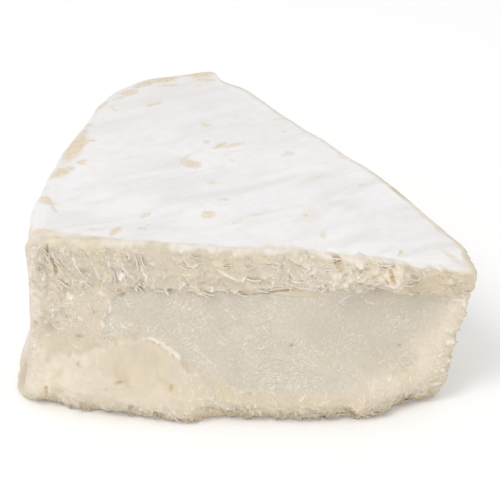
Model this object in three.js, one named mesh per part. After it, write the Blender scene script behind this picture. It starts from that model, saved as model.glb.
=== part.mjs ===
// A wedge of triple cream cheese, cut from a soft-ripened wheel with a white bloomy rind.
// Rind, ripened layer and chalky core are one piece of cheese, so this is one closed solid.
//
// Millimetres, +Z up. The long cut face looks towards -Y, the tip points towards +X and the
// round rind wall is at -X. The origin is in the middle of the footprint, on the resting face.
//
// The skin is a stack of closed rings: out over the flat underside, round the lower edge, up
// the walls, round the upper edge and in over the top. Each wall carries its own relief.

import * as THREE from "three";

// Plan of the wedge
const FRONT_LENGTH = 112; // the long cut face
const FRONT_TURN = -1.3; // degrees, how that face is turned from the X axis
const CUT_ANGLE = 54.5; // degrees between the two cuts
const CUT_BULGE = 2.4; // the other cut is slightly convex
const TIP_WIDTH = 11.5; // the blunt end of the tip
const TIP_TURN = 103; // degrees, direction of the blunt end
const FAR_SWELL = { out: 12, at: 0.78, spread: 0.23 }; // the rind wall bulges at its far end
const EVEN_SWELL = 3.2;
const CORNER_ROUNDING = 2.2; // how much of each corner is worn off, seen from above
const FAR_CORNER_WEAR = { more: 1.1, within: 12 }; // the rind's far corner is worn further

// Thickness and edges
const RIM_HEIGHT = 47.5; // at the rind wall
const TIP_HEIGHT = 39.8; // the tip has sunk
const RIND_EDGE = 5; // radius where the top rolls over into the rind wall
const CUT_EDGE = 2; // radius along both cuts
const LOWER_CUT_EDGE = 3.6;
const LOWER_RIND_EDGE = 4.6;
const TOP_WAVE = { high: 0.45, long: 17, wide: 13 }; // shallow waves in the top
const TOP_RIPPLE = { high: 0.27, long: 8, wide: 7 };

// Rind wall: hollow at half height, spread at the bottom
const WALL_HOLLOW = 2;
const WALL_SPREAD = 4.1;
const WALL_SPREAD_HEIGHT = 11; // the spread starts here
const WALL_FOOT = 2; // and is complete here
const HOLLOW_BAND = { at: 0.68, spread: 12 }; // height of the hollow, as a share of the rim's
const WALL_WAVE = { deep: 0.5, long: 10, tall: 9 };
const WALL_RIPPLE = { deep: 0.3, long: 5, tall: 14 };
const NEAR_CUT_HOLLOW = { more: 0.6, within: 20 }; // the hollow is deeper beside the long cut

// Long cut face: a torn band stands over a scraped core, and a soft foot flows out below
const LEDGE_HEIGHT = 33.4;
const LEDGE_RISE = { up: 1.2, at: 0.64, spread: 0.12 };
const LEDGE_STEP = 0.9; // how far the core lies behind the band, at half length
const LEDGE_OVERHANG = 2.4; // and how much further behind near the tip
const FACE_LEAN = 3.8; // the core leans out this much from the band down to the foot
const FOOT_OUT = 6.4;
const FOOT_HEIGHT = 13; // the foot starts here
const LIP_HEIGHT = 5; // and is fullest here, with a rounded lip below
const SHINGLE = { length: 11, width: 6.5, depth: 1.3, slant: 36.9 }; // torn flakes of the band
const SHINGLE_LIP = 0.75; // a flake rises over this share of its width, then breaks off
const SHINGLE_LEAST = 0.3; // the flattest flake, as a share of the deepest
const TORN_FROM = 6; // the flakes reach their full depth this far below the top
const TORN_LOW = { none: 6, full: 14 }; // and fade out between these heights
const LEDGE_EDGE = 1.2; // half height of the step under the band
const LEDGE_WAVE = { high: 0.8, long: 7 };
const SCRAPE = { deep: 0.35, long: 11, tall: 7 };
const LEAN_CURVE = 1.5;

// Stretches of the long cut, as shares of its length
const STEP_GROWS = [0.12, 0.35];
const OVERHANG_GROWS = [0.62, 0.82];
const OVERHANG_ENDS = [1.06, 0.92];
const FOOT_GROWS = [-0.16, 0.38];
const FOOT_ENDS = [1.15, 0.72];
const TORN_RIND_END = [0.28, 0.12]; // here the flakes reach down below the band
const TORN_RIND_END_DEPTH = 0.8;

// Other cut face: the same make-up, milder
const BACK_LEDGE_STEP = 1.1;
const BACK_FOOT_OUT = 3.6;
const BACK_LEAN = 1.4;
const BACK_LEDGE_EDGE = { above: 1, under: 2 };
const BACK_LEDGE_WAVE = { high: 1.5, long: 10 };
const BACK_TORN_SHIFT = 60; // so that the two cuts don't have the same flakes

// Blunt end of the tip
const TIP_WAVE = { deep: 0.6, long: 4, tall: 6 };
const TIP_HOLLOW = { deep: 0.8, at: 22, spread: 7 };

// The lower end of the tip lies further in than the upper end
const TIP_LEAN = 7.5;
const TIP_LEAN_SIDEWAYS = 2;
const TIP_LEAN_REACH = 28;
const TIP_LEAN_HEIGHT = 36;

// Lumps and hollows of the long cut face: place along it from the rind end, height, half
// width, half height, and how far each stands out
const FRONT_SHAPES = [
  { along: 18, high: 13, wide: 12, tall: 8, out: 2.6 }, // broad soft lump at the rind end
  { along: 1, high: 5, wide: 5, tall: 4, out: 1.4 }, // bulge of the lower corner
  { along: 8, high: 4, wide: 2.6, tall: 4, out: -1.6 }, // fold between the two
  { along: 12, high: 28, wide: 8, tall: 8, out: -1.4 }, // hollow above the lump
  { along: 6, high: 39, wide: 2, tall: 5, out: -1.8 }, // crevice under the rind
  { along: 84, high: 7, wide: 12, tall: 4, out: 1.2 }, // torn foot near the tip
  { along: 76, high: 37, wide: 6, tall: 5, out: 1.5 }, // broken rind
  { along: 92, high: 36, wide: 4, tall: 3, out: 1.8 }, // cream nodule
  { along: 88, high: 33, wide: 3, tall: 2, out: -2 }, // crevice beside it
  { along: 74, high: 43, wide: 14, tall: 4, out: -3 }, // rim broken back
];
const BACK_SHAPES = [
  { along: 20, high: 8, wide: 14, tall: 7, out: 1.6 },
  { along: 44, high: 35, wide: 10, tall: 6, out: 1.2 },
  { along: 66, high: 14, wide: 9, tall: 8, out: -1.2 },
  { along: 84, high: 30, wide: 8, tall: 7, out: 1.4 },
  { along: 100, high: 44, wide: 6, tall: 7, out: -3.6 }, // chip at the far corner
];

// Mesh: columns round the walls, and rings from the underside to the top
const FRONT_SPACING = 1.9;
const OTHER_SPACING = 3.2;
const WALL_RINGS = 22;
const EDGE_RINGS = 3;
const TOP_RINGS = 7;
const BASE_RINGS = 2;
const TRACE_STEP = 0.25; // fine trace of the plan before it is spaced out
const NEIGHBOUR_MARKS = 4; // marks each side of a column that give its direction
const LENGTH_STEPS = 100; // steps in which the length of a wall is measured
const LEAST_SLANT = 0.45; // an edge is rounded towards the heart, and at most this steeply
const ROUNDING_REACH = 2.5; // roundings each side of a mark that its average takes in
const TOP_RING_CROWDING = 1.25; // above 1, the top's rings crowd towards its edge
const SCATTER = { across: 12.9898, up: 78.233, spread: 437.585 };

const radians = (angle) => (angle * Math.PI) / 180;
const limit = (t) => Math.min(1, Math.max(0, t));
const mix = (a, b, t) => a + (b - a) * t;
const bell = (t, centre, spread) => Math.exp(-(((t - centre) / spread) ** 2));
const heading = (angle) => new THREE.Vector2(Math.cos(angle), Math.sin(angle));

// 0 below from, 1 above to, and smooth between
function ramp(from, to, t) {
  const k = limit((t - from) / (to - from));
  return k * k * (3 - 2 * k);
}

// The same scatter of numbers from 0 to 1 each time, one for each pair of whole numbers
function scatter(i, j) {
  const wave = Math.sin(i * SCATTER.across + j * SCATTER.up) * SCATTER.spread;
  return wave - Math.floor(wave);
}

// Smooth unevenness, from -1 to 1, with bumps about one unit apart
function uneven(x, y) {
  const i = Math.floor(x);
  const j = Math.floor(y);
  const u = ramp(0, 1, x - i);
  const v = ramp(0, 1, y - j);
  const low = mix(scatter(i, j), scatter(i + 1, j), u);
  const high = mix(scatter(i, j + 1), scatter(i + 1, j + 1), u);
  return 2 * mix(low, high, v) - 1;
}

// Four corners of the plan: the rind end and the tip end of both cuts
const frontHeading = radians(FRONT_TURN);
const frontCorner = new THREE.Vector2(-FRONT_LENGTH / 2, 0);
const tipFront = frontCorner.clone().addScaledVector(heading(frontHeading), FRONT_LENGTH);
const tipBack = tipFront.clone().addScaledVector(heading(radians(TIP_TURN)), TIP_WIDTH);
const rimHeading = (share) => Math.PI + frontHeading - radians(CUT_ANGLE) * share;

function rimPoint(share) {
  const even = EVEN_SWELL * Math.sin(Math.PI * share);
  const far = FAR_SWELL.out * bell(share, FAR_SWELL.at, FAR_SWELL.spread);
  const reach = FRONT_LENGTH + even + far;
  return tipFront.clone().addScaledVector(heading(rimHeading(share)), reach);
}
const backCorner = rimPoint(1);

// The plan as four walls, each a curve from 0 to 1, followed anticlockwise
function backPoint(share) {
  const point = tipBack.clone().lerp(backCorner, share);
  const side = backCorner.clone().sub(tipBack).normalize();
  const bulge = CUT_BULGE * bell(share, 0.34, 0.28);
  return point.add(new THREE.Vector2(side.y, -side.x).multiplyScalar(bulge));
}
const walls = [
  { name: "front", spacing: FRONT_SPACING, at: (t) => frontCorner.clone().lerp(tipFront, t) },
  { name: "tip", spacing: FRONT_SPACING, at: (t) => tipFront.clone().lerp(tipBack, t) },
  { name: "back", spacing: OTHER_SPACING, at: backPoint },
  { name: "rind", spacing: OTHER_SPACING, at: (t) => rimPoint(1 - t) },
];

// Fine trace of the whole plan, in which each mark knows its wall
const trace = [];
for (const wall of walls) {
  wall.length = 0;
  for (let k = 1; k <= LENGTH_STEPS; k += 1) {
    wall.length += wall.at(k / LENGTH_STEPS).distanceTo(wall.at((k - 1) / LENGTH_STEPS));
  }
  wall.marks = Math.round(wall.length / TRACE_STEP);
  for (let k = 0; k < wall.marks; k += 1) {
    trace.push({ point: wall.at((k + 0.5) / wall.marks), wall });
  }
}
const backLength = tipBack.distanceTo(backCorner);
const rimLength = walls[3].length;

// A point inside the plan that sees every wall
const heart = new THREE.Vector2();
for (const mark of trace) {
  heart.addScaledVector(mark.point, 1 / trace.length);
}

// Average of the trace around one mark, which rounds the corners and blends the walls
function blended(mark) {
  const centre = (mark + trace.length) % trace.length;
  const toFarCorner = trace[centre].point.distanceTo(backCorner);
  const wear = FAR_CORNER_WEAR.more * bell(toFarCorner, 0, FAR_CORNER_WEAR.within);
  const rounding = CORNER_ROUNDING * (1 + wear);
  const reach = Math.round((ROUNDING_REACH * rounding) / TRACE_STEP);
  const point = new THREE.Vector2();
  const share = { front: 0, tip: 0, back: 0, rind: 0 };
  let total = 0;
  for (let k = -reach; k <= reach; k += 1) {
    const near = trace[(centre + k + trace.length) % trace.length];
    const weight = bell(k * TRACE_STEP, 0, rounding);
    point.addScaledVector(near.point, weight);
    share[near.wall.name] += weight;
    total += weight;
  }
  for (const name of Object.keys(share)) {
    share[name] /= total;
  }
  return { point: point.divideScalar(total), share };
}

// How far a point of the plan lies along each wall, measured from where that wall starts
function placeAlong(point) {
  const along = (start, end) => {
    const length = start.distanceTo(end);
    const direction = end.clone().sub(start).divideScalar(length);
    return Math.min(length, Math.max(0, point.clone().sub(start).dot(direction)));
  };
  const reach = point.clone().sub(tipFront);
  const turn = Math.PI + frontHeading - (reach.angle() || 0);
  return {
    front: along(frontCorner, tipFront),
    tip: along(tipFront, tipBack),
    back: along(tipBack, backCorner),
    rind: rimLength * (1 - limit(turn / radians(CUT_ANGLE))),
  };
}

// The top sinks from the rind wall to the tip, with shallow waves
function topHeight(x, y) {
  const reach = limit(Math.hypot(x - tipFront.x, y - tipFront.y) / FRONT_LENGTH);
  const wave = TOP_WAVE.high * uneven(x / TOP_WAVE.long + 3, y / TOP_WAVE.wide);
  const ripple = TOP_RIPPLE.high * uneven(x / TOP_RIPPLE.long, y / TOP_RIPPLE.wide + 5);
  return mix(TIP_HEIGHT, RIM_HEIGHT, reach) + wave + ripple;
}

// Columns of the mesh, spaced along each wall, with their outward direction
const columns = [];
let firstMark = 0;
for (const wall of walls) {
  const count = Math.round(wall.length / wall.spacing);
  for (let k = 0; k < count; k += 1) {
    const mark = firstMark + Math.floor((wall.marks * k) / count);
    const column = blended(mark);
    const side = blended(mark + NEIGHBOUR_MARKS).point;
    side.sub(blended(mark - NEIGHBOUR_MARKS).point).normalize();
    column.out = new THREE.Vector2(side.y, -side.x);
    column.inward = heart.clone().sub(column.point).normalize();
    column.inward.divideScalar(Math.max(LEAST_SLANT, -column.inward.dot(column.out)));
    column.along = placeAlong(column.point);
    column.top = topHeight(column.point.x, column.point.y);
    columns.push(column);
  }
  firstMark += wall.marks;
}

// Overlapping torn flakes, lying on a slant; each rises to its lower lip and then breaks off
function shingles(along, high) {
  const slant = heading(radians(SHINGLE.slant));
  const a = (along * slant.x - high * slant.y) / SHINGLE.length;
  const b = (along * slant.y + high * slant.x) / SHINGLE.width;
  const row = Math.floor(b);
  const shifted = a + scatter(row, 7);
  const cell = Math.floor(shifted);
  const rise = 1 - (b - row);
  const lip = rise < SHINGLE_LIP ? rise / SHINGLE_LIP : (1 - rise) / (1 - SHINGLE_LIP);
  const ends = Math.sin(Math.PI * (shifted - cell));
  return SHINGLE.depth * mix(SHINGLE_LEAST, 1, scatter(cell, row)) * lip * Math.sqrt(ends);
}

function shapesAt(shapes, along, high) {
  let out = 0;
  for (const shape of shapes) {
    out += shape.out * bell(along, shape.along, shape.wide) * bell(high, shape.high, shape.tall);
  }
  return out;
}

// The soft foot flows out below a lean in the face, and is fullest just above its lower lip
function flow(foot, lean, high) {
  const slope = limit((LEDGE_HEIGHT - high) / (LEDGE_HEIGHT - LIP_HEIGHT));
  return foot * ramp(FOOT_HEIGHT, LIP_HEIGHT, high) + lean * slope ** LEAN_CURVE;
}

function frontRelief(along, high, depth) {
  const share = along / FRONT_LENGTH;
  const rise = LEDGE_RISE.up * bell(share, LEDGE_RISE.at, LEDGE_RISE.spread);
  const ledge = LEDGE_HEIGHT + rise + LEDGE_WAVE.high * uneven(along / LEDGE_WAVE.long, 2);
  const below = ramp(ledge + LEDGE_EDGE, ledge - LEDGE_EDGE, high);
  const step = LEDGE_STEP * ramp(...STEP_GROWS, share);
  const overhang = LEDGE_OVERHANG * ramp(...OVERHANG_GROWS, share) * ramp(...OVERHANG_ENDS, share);
  const fullness = ramp(...FOOT_GROWS, share) * ramp(...FOOT_ENDS, share);
  const band = (1 - below) * ramp(0, TORN_FROM, depth);
  const rindEnd = TORN_RIND_END_DEPTH * ramp(...TORN_RIND_END, share) * below;
  const flakes = limit(band + rindEnd) * ramp(TORN_LOW.none, TORN_LOW.full, high);
  const torn = shingles(along, high) * flakes;
  const scraped = SCRAPE.deep * uneven(along / SCRAPE.long, high / SCRAPE.tall) * below;
  const soft = flow(FOOT_OUT * fullness, FACE_LEAN * fullness, high);
  return torn + scraped + soft - (step + overhang) * below + shapesAt(FRONT_SHAPES, along, high);
}

function backRelief(along, high, depth) {
  const wave = BACK_LEDGE_WAVE.high * uneven(along / BACK_LEDGE_WAVE.long, 9);
  const { above, under } = BACK_LEDGE_EDGE;
  const below = ramp(LEDGE_HEIGHT + above, LEDGE_HEIGHT - under, high + wave);
  const flakes = (1 - below) * ramp(0, TORN_FROM, depth);
  const torn = shingles(along + BACK_TORN_SHIFT, high) * flakes;
  const fullness = Math.sin(Math.PI * limit(along / backLength));
  const soft = flow(BACK_FOOT_OUT * fullness, BACK_LEAN * fullness, high);
  return torn + soft - BACK_LEDGE_STEP * below + shapesAt(BACK_SHAPES, along, high);
}

function rindRelief(along, high) {
  const nearCut = 1 + NEAR_CUT_HOLLOW.more * bell(along, rimLength, NEAR_CUT_HOLLOW.within);
  const height = HOLLOW_BAND.at * RIM_HEIGHT;
  const hollow = WALL_HOLLOW * nearCut * bell(high, height, HOLLOW_BAND.spread);
  const spread = WALL_SPREAD * ramp(WALL_SPREAD_HEIGHT, WALL_FOOT, high);
  const { long, tall } = WALL_WAVE;
  const wave = WALL_WAVE.deep * uneven(along / long, high / tall + 4);
  const ripple = WALL_RIPPLE.deep * uneven(along / WALL_RIPPLE.long, high / WALL_RIPPLE.tall);
  return spread - hollow + wave + ripple;
}

function tipRelief(along, high) {
  const wave = TIP_WAVE.deep * uneven(along / TIP_WAVE.long, high / TIP_WAVE.tall);
  return wave - TIP_HOLLOW.deep * bell(high, TIP_HOLLOW.at, TIP_HOLLOW.spread);
}

// Outward relief of a column at one height, shared between the walls that meet there
function relief({ share, along, top }, high) {
  const depth = top - high;
  return (
    share.front * frontRelief(along.front, high, depth) +
    share.tip * tipRelief(along.tip, high) +
    share.back * backRelief(along.back, high, depth) +
    share.rind * rindRelief(along.rind, high)
  );
}

// A point of the skin: a column moved out by its relief, and in where an edge is rounded
function skinPoint(column, high, inset) {
  const point = column.point.clone().addScaledVector(column.out, relief(column, high));
  point.addScaledVector(column.inward, inset);
  const sink = limit(1 - high / TIP_LEAN_HEIGHT);
  const lean = sink * ramp(tipFront.x - TIP_LEAN_REACH, tipFront.x, point.x);
  point.x -= TIP_LEAN * lean;
  point.y += TIP_LEAN_SIDEWAYS * lean;
  return new THREE.Vector3(point.x, point.y, high);
}

function topEdgeRadius(column) {
  return mix(CUT_EDGE, RIND_EDGE, column.share.rind);
}
function lowEdgeRadius(column) {
  return mix(LOWER_CUT_EDGE, LOWER_RIND_EDGE, column.share.rind);
}

// Rings of the skin from the underside up
const rings = [];
const lowerRing = columns.map((column) => skinPoint(column, 0, lowEdgeRadius(column)));
for (let k = 1; k <= BASE_RINGS; k += 1) {
  const share = k / (BASE_RINGS + 1);
  rings.push(
    lowerRing.map((p) => new THREE.Vector3(mix(heart.x, p.x, share), mix(heart.y, p.y, share), 0)),
  );
}
rings.push(lowerRing);
for (let k = 1; k < EDGE_RINGS; k += 1) {
  const turn = (Math.PI / 2) * (k / EDGE_RINGS);
  rings.push(
    columns.map((column) => {
      const radius = lowEdgeRadius(column);
      const high = radius * (1 - Math.cos(turn));
      return skinPoint(column, high, radius * (1 - Math.sin(turn)));
    }),
  );
}
for (let k = 0; k <= WALL_RINGS; k += 1) {
  const share = k / WALL_RINGS;
  rings.push(
    columns.map((column) => {
      const high = mix(lowEdgeRadius(column), column.top - topEdgeRadius(column), share);
      return skinPoint(column, high, 0);
    }),
  );
}
for (let k = 1; k <= EDGE_RINGS; k += 1) {
  const turn = (Math.PI / 2) * (k / EDGE_RINGS);
  rings.push(
    columns.map((column) => {
      const radius = topEdgeRadius(column);
      const high = column.top - radius * (1 - Math.sin(turn));
      return skinPoint(column, high, radius * (1 - Math.cos(turn)));
    }),
  );
}
const upperRing = rings[rings.length - 1];
for (let k = 1; k <= TOP_RINGS; k += 1) {
  const share = (k / (TOP_RINGS + 1)) ** TOP_RING_CROWDING;
  rings.push(
    upperRing.map((p) => {
      const x = mix(p.x, heart.x, share);
      const y = mix(p.y, heart.y, share);
      return new THREE.Vector3(x, y, topHeight(x, y));
    }),
  );
}

// Skin triangles: between neighbouring rings, and from the last ring at each end to a pole
const count = columns.length;
const corners = [];
const faces = [];
for (const ring of rings) {
  for (const point of ring) {
    corners.push(point.x, point.y, point.z);
  }
}
for (let k = 0; k + 1 < rings.length; k += 1) {
  for (let j = 0; j < count; j += 1) {
    const a = k * count + j;
    const b = k * count + ((j + 1) % count);
    faces.push(a, b, b + count, a, b + count, a + count);
  }
}
const lowerPole = corners.length / 3;
corners.push(heart.x, heart.y, 0);
const upperPole = lowerPole + 1;
corners.push(heart.x, heart.y, topHeight(heart.x, heart.y));
const lastRing = (rings.length - 1) * count;
for (let j = 0; j < count; j += 1) {
  const next = (j + 1) % count;
  faces.push(lowerPole, next, j);
  faces.push(upperPole, lastRing + j, lastRing + next);
}

const geometry = new THREE.BufferGeometry();
geometry.setAttribute("position", new THREE.Float32BufferAttribute(corners, 3));
geometry.setIndex(faces);

// Origin in the middle of the footprint
geometry.computeBoundingBox();
const middle = geometry.boundingBox.getCenter(new THREE.Vector3());
geometry.translate(-middle.x, -middle.y, 0);
geometry.computeVertexNormals();

const cheese = new THREE.MeshStandardMaterial({ color: "#e6ddc8", roughness: 0.75 });
const wedge = new THREE.Mesh(geometry, cheese);
wedge.name = "cheese_wedge";

const group = new THREE.Group();
group.name = "triple_cream_cheese";
group.add(wedge);

export default group;
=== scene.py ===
# %% [markdown]
# # A wedge of triple cream cheese
# The real thing is one piece of soft cheese: a white bloomy rind on top, below and round the
# outside, and two cut faces. Each cut shows a torn cream-coloured band under the rind, a
# chalky core that the knife has scraped, and a soft foot that has begun to flow.
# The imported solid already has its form, so it is loaded first and everything is built on it.

# %% Load the frame
import math
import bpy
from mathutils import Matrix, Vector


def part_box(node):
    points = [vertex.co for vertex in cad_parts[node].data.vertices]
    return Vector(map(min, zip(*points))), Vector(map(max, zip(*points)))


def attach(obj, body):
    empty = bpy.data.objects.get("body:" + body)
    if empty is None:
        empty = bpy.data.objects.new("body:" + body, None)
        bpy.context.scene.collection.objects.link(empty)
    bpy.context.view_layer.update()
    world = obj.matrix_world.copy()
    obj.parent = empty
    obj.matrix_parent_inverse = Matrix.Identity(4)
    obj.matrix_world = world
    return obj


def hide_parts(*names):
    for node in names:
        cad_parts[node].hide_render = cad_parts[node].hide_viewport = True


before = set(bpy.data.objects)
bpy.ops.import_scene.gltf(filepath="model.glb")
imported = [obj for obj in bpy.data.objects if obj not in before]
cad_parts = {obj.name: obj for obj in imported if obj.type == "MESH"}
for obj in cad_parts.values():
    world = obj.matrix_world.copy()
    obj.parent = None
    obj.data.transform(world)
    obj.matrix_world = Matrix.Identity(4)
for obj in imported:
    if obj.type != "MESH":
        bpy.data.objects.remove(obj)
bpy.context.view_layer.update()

from types import SimpleNamespace

import bpy
import numpy as np
from mathutils import Vector

MM = 0.001
solid_low, solid_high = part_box("cheese_wedge")
print("solid from", [round(v / MM, 2) for v in solid_low], "to", [round(v / MM, 2) for v in solid_high])

# %% [markdown]
# ## Camera and studio
# A cheese is photographed in soft, even light, so that its white rind doesn't burn out and
# its cream-coloured paste stays readable. A pale floor and a bright sky give most of that
# light, one broad lamp from above gives the relief its small shadows, and a weaker one in
# front fills them a little.
# The camera faces the long cut from 31 degrees above the horizon.

# %% Camera
TARGET = (2.11, -6.03, 22.0)  # mm, the point in the middle of the picture
ELEVATION = 31.0  # degrees
DISTANCE = 620.0  # mm
PICTURE_MM = 0.262  # mm, one picture point at that distance
PICTURE_SIDE = 500
SENSOR = 36.0  # mm

camera_data = bpy.data.cameras.new("camera")
camera_data.sensor_width = SENSOR
camera_data.lens = SENSOR * DISTANCE / (PICTURE_MM * PICTURE_SIDE)
camera = bpy.data.objects.new("camera", camera_data)
tilt = math.radians(ELEVATION)
camera.location = (
    TARGET[0] * MM,
    (TARGET[1] - DISTANCE * math.cos(tilt)) * MM,
    (TARGET[2] + DISTANCE * math.sin(tilt)) * MM,
)
camera.rotation_euler = (math.radians(90) - tilt, 0, 0)
bpy.context.scene.collection.objects.link(camera)
bpy.context.scene.camera = camera
print("lens", round(camera_data.lens, 1), "mm")

# %% Helpers for plain materials and lamps
bpy.context.scene.view_settings.view_transform = "Standard"


def principled(name, colour, roughness):
    """A plain material of one colour."""
    material = bpy.data.materials.new(name)
    material.use_nodes = True
    shader = material.node_tree.nodes["Principled BSDF"]
    shader.inputs["Base Color"].default_value = (*colour, 1)
    shader.inputs["Roughness"].default_value = roughness
    return material


def lamp(name, place, aim, side, power):
    """A square soft lamp; place, aim and side are in metres and power in watts."""
    data = bpy.data.lights.new(name, "AREA")
    data.shape = "SQUARE"
    data.size = side
    data.energy = power
    made = bpy.data.objects.new(name, data)
    made.location = place
    way = Vector(aim) - Vector(place)
    made.rotation_euler = way.to_track_quat("-Z", "Y").to_euler()
    bpy.context.scene.collection.objects.link(made)


# %% Floor
FLOOR_SIDE = 6.0  # metres

half = FLOOR_SIDE / 2
floor_corners = [(-half, -half, 0), (half, -half, 0), (half, half, 0), (-half, half, 0)]
floor_mesh = bpy.data.meshes.new("floor")
floor_mesh.from_pydata(floor_corners, [], [(0, 1, 2, 3)])
floor_mesh.materials.append(principled("pale_floor", colour=(1.0, 1.0, 1.0), roughness=0.9))
floor = bpy.data.objects.new("floor", floor_mesh)
bpy.context.scene.collection.objects.link(floor)
print("floor", FLOOR_SIDE, "m wide")

# %% Sky and lamps
SKY_STRENGTH = 0.80
LAMP_AIM = (0, 0, 0.02)  # metres, the middle of the wedge

sky = bpy.data.worlds.new("sky")
sky.use_nodes = True
background = sky.node_tree.nodes["Background"]
background.inputs["Color"].default_value = (1, 1, 1, 1)
background.inputs["Strength"].default_value = SKY_STRENGTH
bpy.context.scene.world = sky
lamp("key", place=(-0.40, -0.45, 0.90), aim=LAMP_AIM, side=0.45, power=3.4)
lamp("front_fill", place=(0.25, -1.1, 0.35), aim=LAMP_AIM, side=0.8, power=1.5)

# %% [markdown]
# ## Curves and unevenness
# Everything on the cheese is made of a few smooth curves of place. `bell` is a bump, `ramp`
# is a soft step, `between` is a stretch with soft ends, and `uneven` is smooth noise with
# bumps about one unit apart. They work on whole arrays, because the skin has nearly a hundred
# thousand points.

# %% Curves


def bell(t, centre, spread):
    return np.exp(-(((t - centre) / spread) ** 2))


def ramp(start, end, t):
    """0 before start, 1 after end, and smooth between."""
    k = np.clip((t - start) / (end - start), 0.0, 1.0)
    return k * k * (3 - 2 * k)


def between(t, start, full, still_full, end):
    """0 outside start and end, 1 from full to still_full, and smooth between."""
    return ramp(start, full, t) * ramp(end, still_full, t)


def mix(a, b, t):
    """a where t is 0, b where t is 1, and in proportion between."""
    return a + (b - a) * t


def scatter(i, j):
    """The same scatter of numbers from 0 to 1 each time, one for each pair of whole numbers.

    The three factors only have to be unrelated, so that no pattern shows.
    """
    wave = np.sin(i * 12.9898 + j * 78.233) * 437.585
    return wave - np.floor(wave)


def uneven(x, y):
    """Smooth unevenness, from -1 to 1."""
    i = np.floor(x)
    j = np.floor(y)
    u = ramp(0, 1, x - i)
    v = ramp(0, 1, y - j)
    low = mix(scatter(i, j), scatter(i + 1, j), u)
    high = mix(scatter(i, j + 1), scatter(i + 1, j + 1), u)
    return 2 * mix(low, high, v) - 1


def rough(x, y):
    """Unevenness in three sizes, each half as wide and half as deep as the one before."""
    total = 0
    for k in range(3):
        total = total + uneven(x * 2**k + 17 * k, y * 2**k - 9 * k) / 2**k
    return total / 1.6


# %% [markdown]
# ## Plan of the wedge
# Seen from above the wedge has four walls: the long cut, the blunt tip, the other cut and the
# round rind wall. Each is a curve from 0 to 1, followed anticlockwise, with the same sizes as
# the solid's. The corners are rounded by averaging a fine trace of the plan.

# %% Sizes of the plan
FRONT_LENGTH = 112.0  # mm, the long cut
FRONT_TURN = -1.3  # degrees, the way that it runs
CUT_ANGLE = 54.5  # degrees between the two cuts
CUT_BULGE = 2.4  # mm, how far the other cut swells out
TIP_WIDTH = 11.5  # mm, the blunt tip
TIP_TURN = 103.0  # degrees
EVEN_SWELL = 3.2  # mm, how far the rind wall bulges beyond a true arc
FAR_SWELL = {"out": 12.0, "at": 0.78, "spread": 0.23}  # a further bulge towards its far corner
CORNER_ROUNDING = 2.2  # mm
FAR_CORNER_WEAR = {"more": 1.1, "within": 12.0}
TRACE_STEP = 0.25  # mm

# %% The four walls


def heading(angle):
    return np.stack([np.cos(angle), np.sin(angle)], -1)


front_heading = math.radians(FRONT_TURN)
front_corner = np.array([-FRONT_LENGTH / 2, 0.0])
tip_front = front_corner + FRONT_LENGTH * heading(front_heading)
tip_back = tip_front + TIP_WIDTH * heading(math.radians(TIP_TURN))


def front_point(t):
    return front_corner + np.outer(t, tip_front - front_corner)


def tip_point(t):
    return tip_front + np.outer(t, tip_back - tip_front)


def rim_point(share):
    """A point of the rind wall, from the long cut at 0 to the other cut at 1."""
    share = np.asarray(share, float)
    far = FAR_SWELL["out"] * bell(share, FAR_SWELL["at"], FAR_SWELL["spread"])
    reach = FRONT_LENGTH + EVEN_SWELL * np.sin(np.pi * share) + far
    turn = np.pi + front_heading - math.radians(CUT_ANGLE) * share
    return tip_front + heading(turn) * reach[..., None]


back_corner = rim_point(1.0)
back_length = float(np.linalg.norm(back_corner - tip_back))


def back_point(t):
    """A point of the other cut, which swells out a little."""
    side = (back_corner - tip_back) / back_length
    bulge = CUT_BULGE * bell(t, 0.34, 0.28)
    return tip_back + np.outer(t, back_corner - tip_back) + np.outer(bulge, [side[1], -side[0]])


# %% Trace of the plan
# spacing is the distance in mm between two columns of points: the cut that shows most is finest
walls = [
    {"name": "front", "at": front_point, "spacing": 0.29},
    {"name": "tip", "at": tip_point, "spacing": 0.5},
    {"name": "back", "at": back_point, "spacing": 1.3},
    {"name": "rind", "at": lambda t: rim_point(1 - t), "spacing": 1.3},
]
for wall in walls:
    steps = wall["at"](np.linspace(0, 1, 101))
    wall["length"] = float(np.linalg.norm(np.diff(steps, axis=0), axis=1).sum())
    wall["marks"] = round(wall["length"] / TRACE_STEP)
trace = np.concatenate([w["at"]((np.arange(w["marks"]) + 0.5) / w["marks"]) for w in walls])
trace_wall = np.repeat(np.arange(len(walls)), [w["marks"] for w in walls])
heart = trace.mean(0)
rim_length = walls[3]["length"]
print("walls", [round(w["length"], 1) for w in walls], "heart", heart.round(3))

# %% Columns round the plan
SIDE_MARKS = 4  # marks on either side that give a column its direction
ROUNDING_REACH = 2.5  # how far the average reaches, in units of the rounding


def blended(mark):
    """A point of the plan with its corners rounded, and how much of each wall is in it."""
    mark = mark % len(trace)
    to_far_corner = np.linalg.norm(trace[mark] - back_corner)
    wear = FAR_CORNER_WEAR["more"] * bell(to_far_corner, 0, FAR_CORNER_WEAR["within"])
    rounding = CORNER_ROUNDING * (1 + wear)
    reach = round(ROUNDING_REACH * rounding / TRACE_STEP)
    near = np.arange(-reach, reach + 1)
    weight = bell(near * TRACE_STEP, 0, rounding)
    weight = weight / weight.sum()
    which = (mark + near) % len(trace)
    share = np.bincount(trace_wall[which], weight, minlength=len(walls))
    return weight @ trace[which], share


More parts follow.
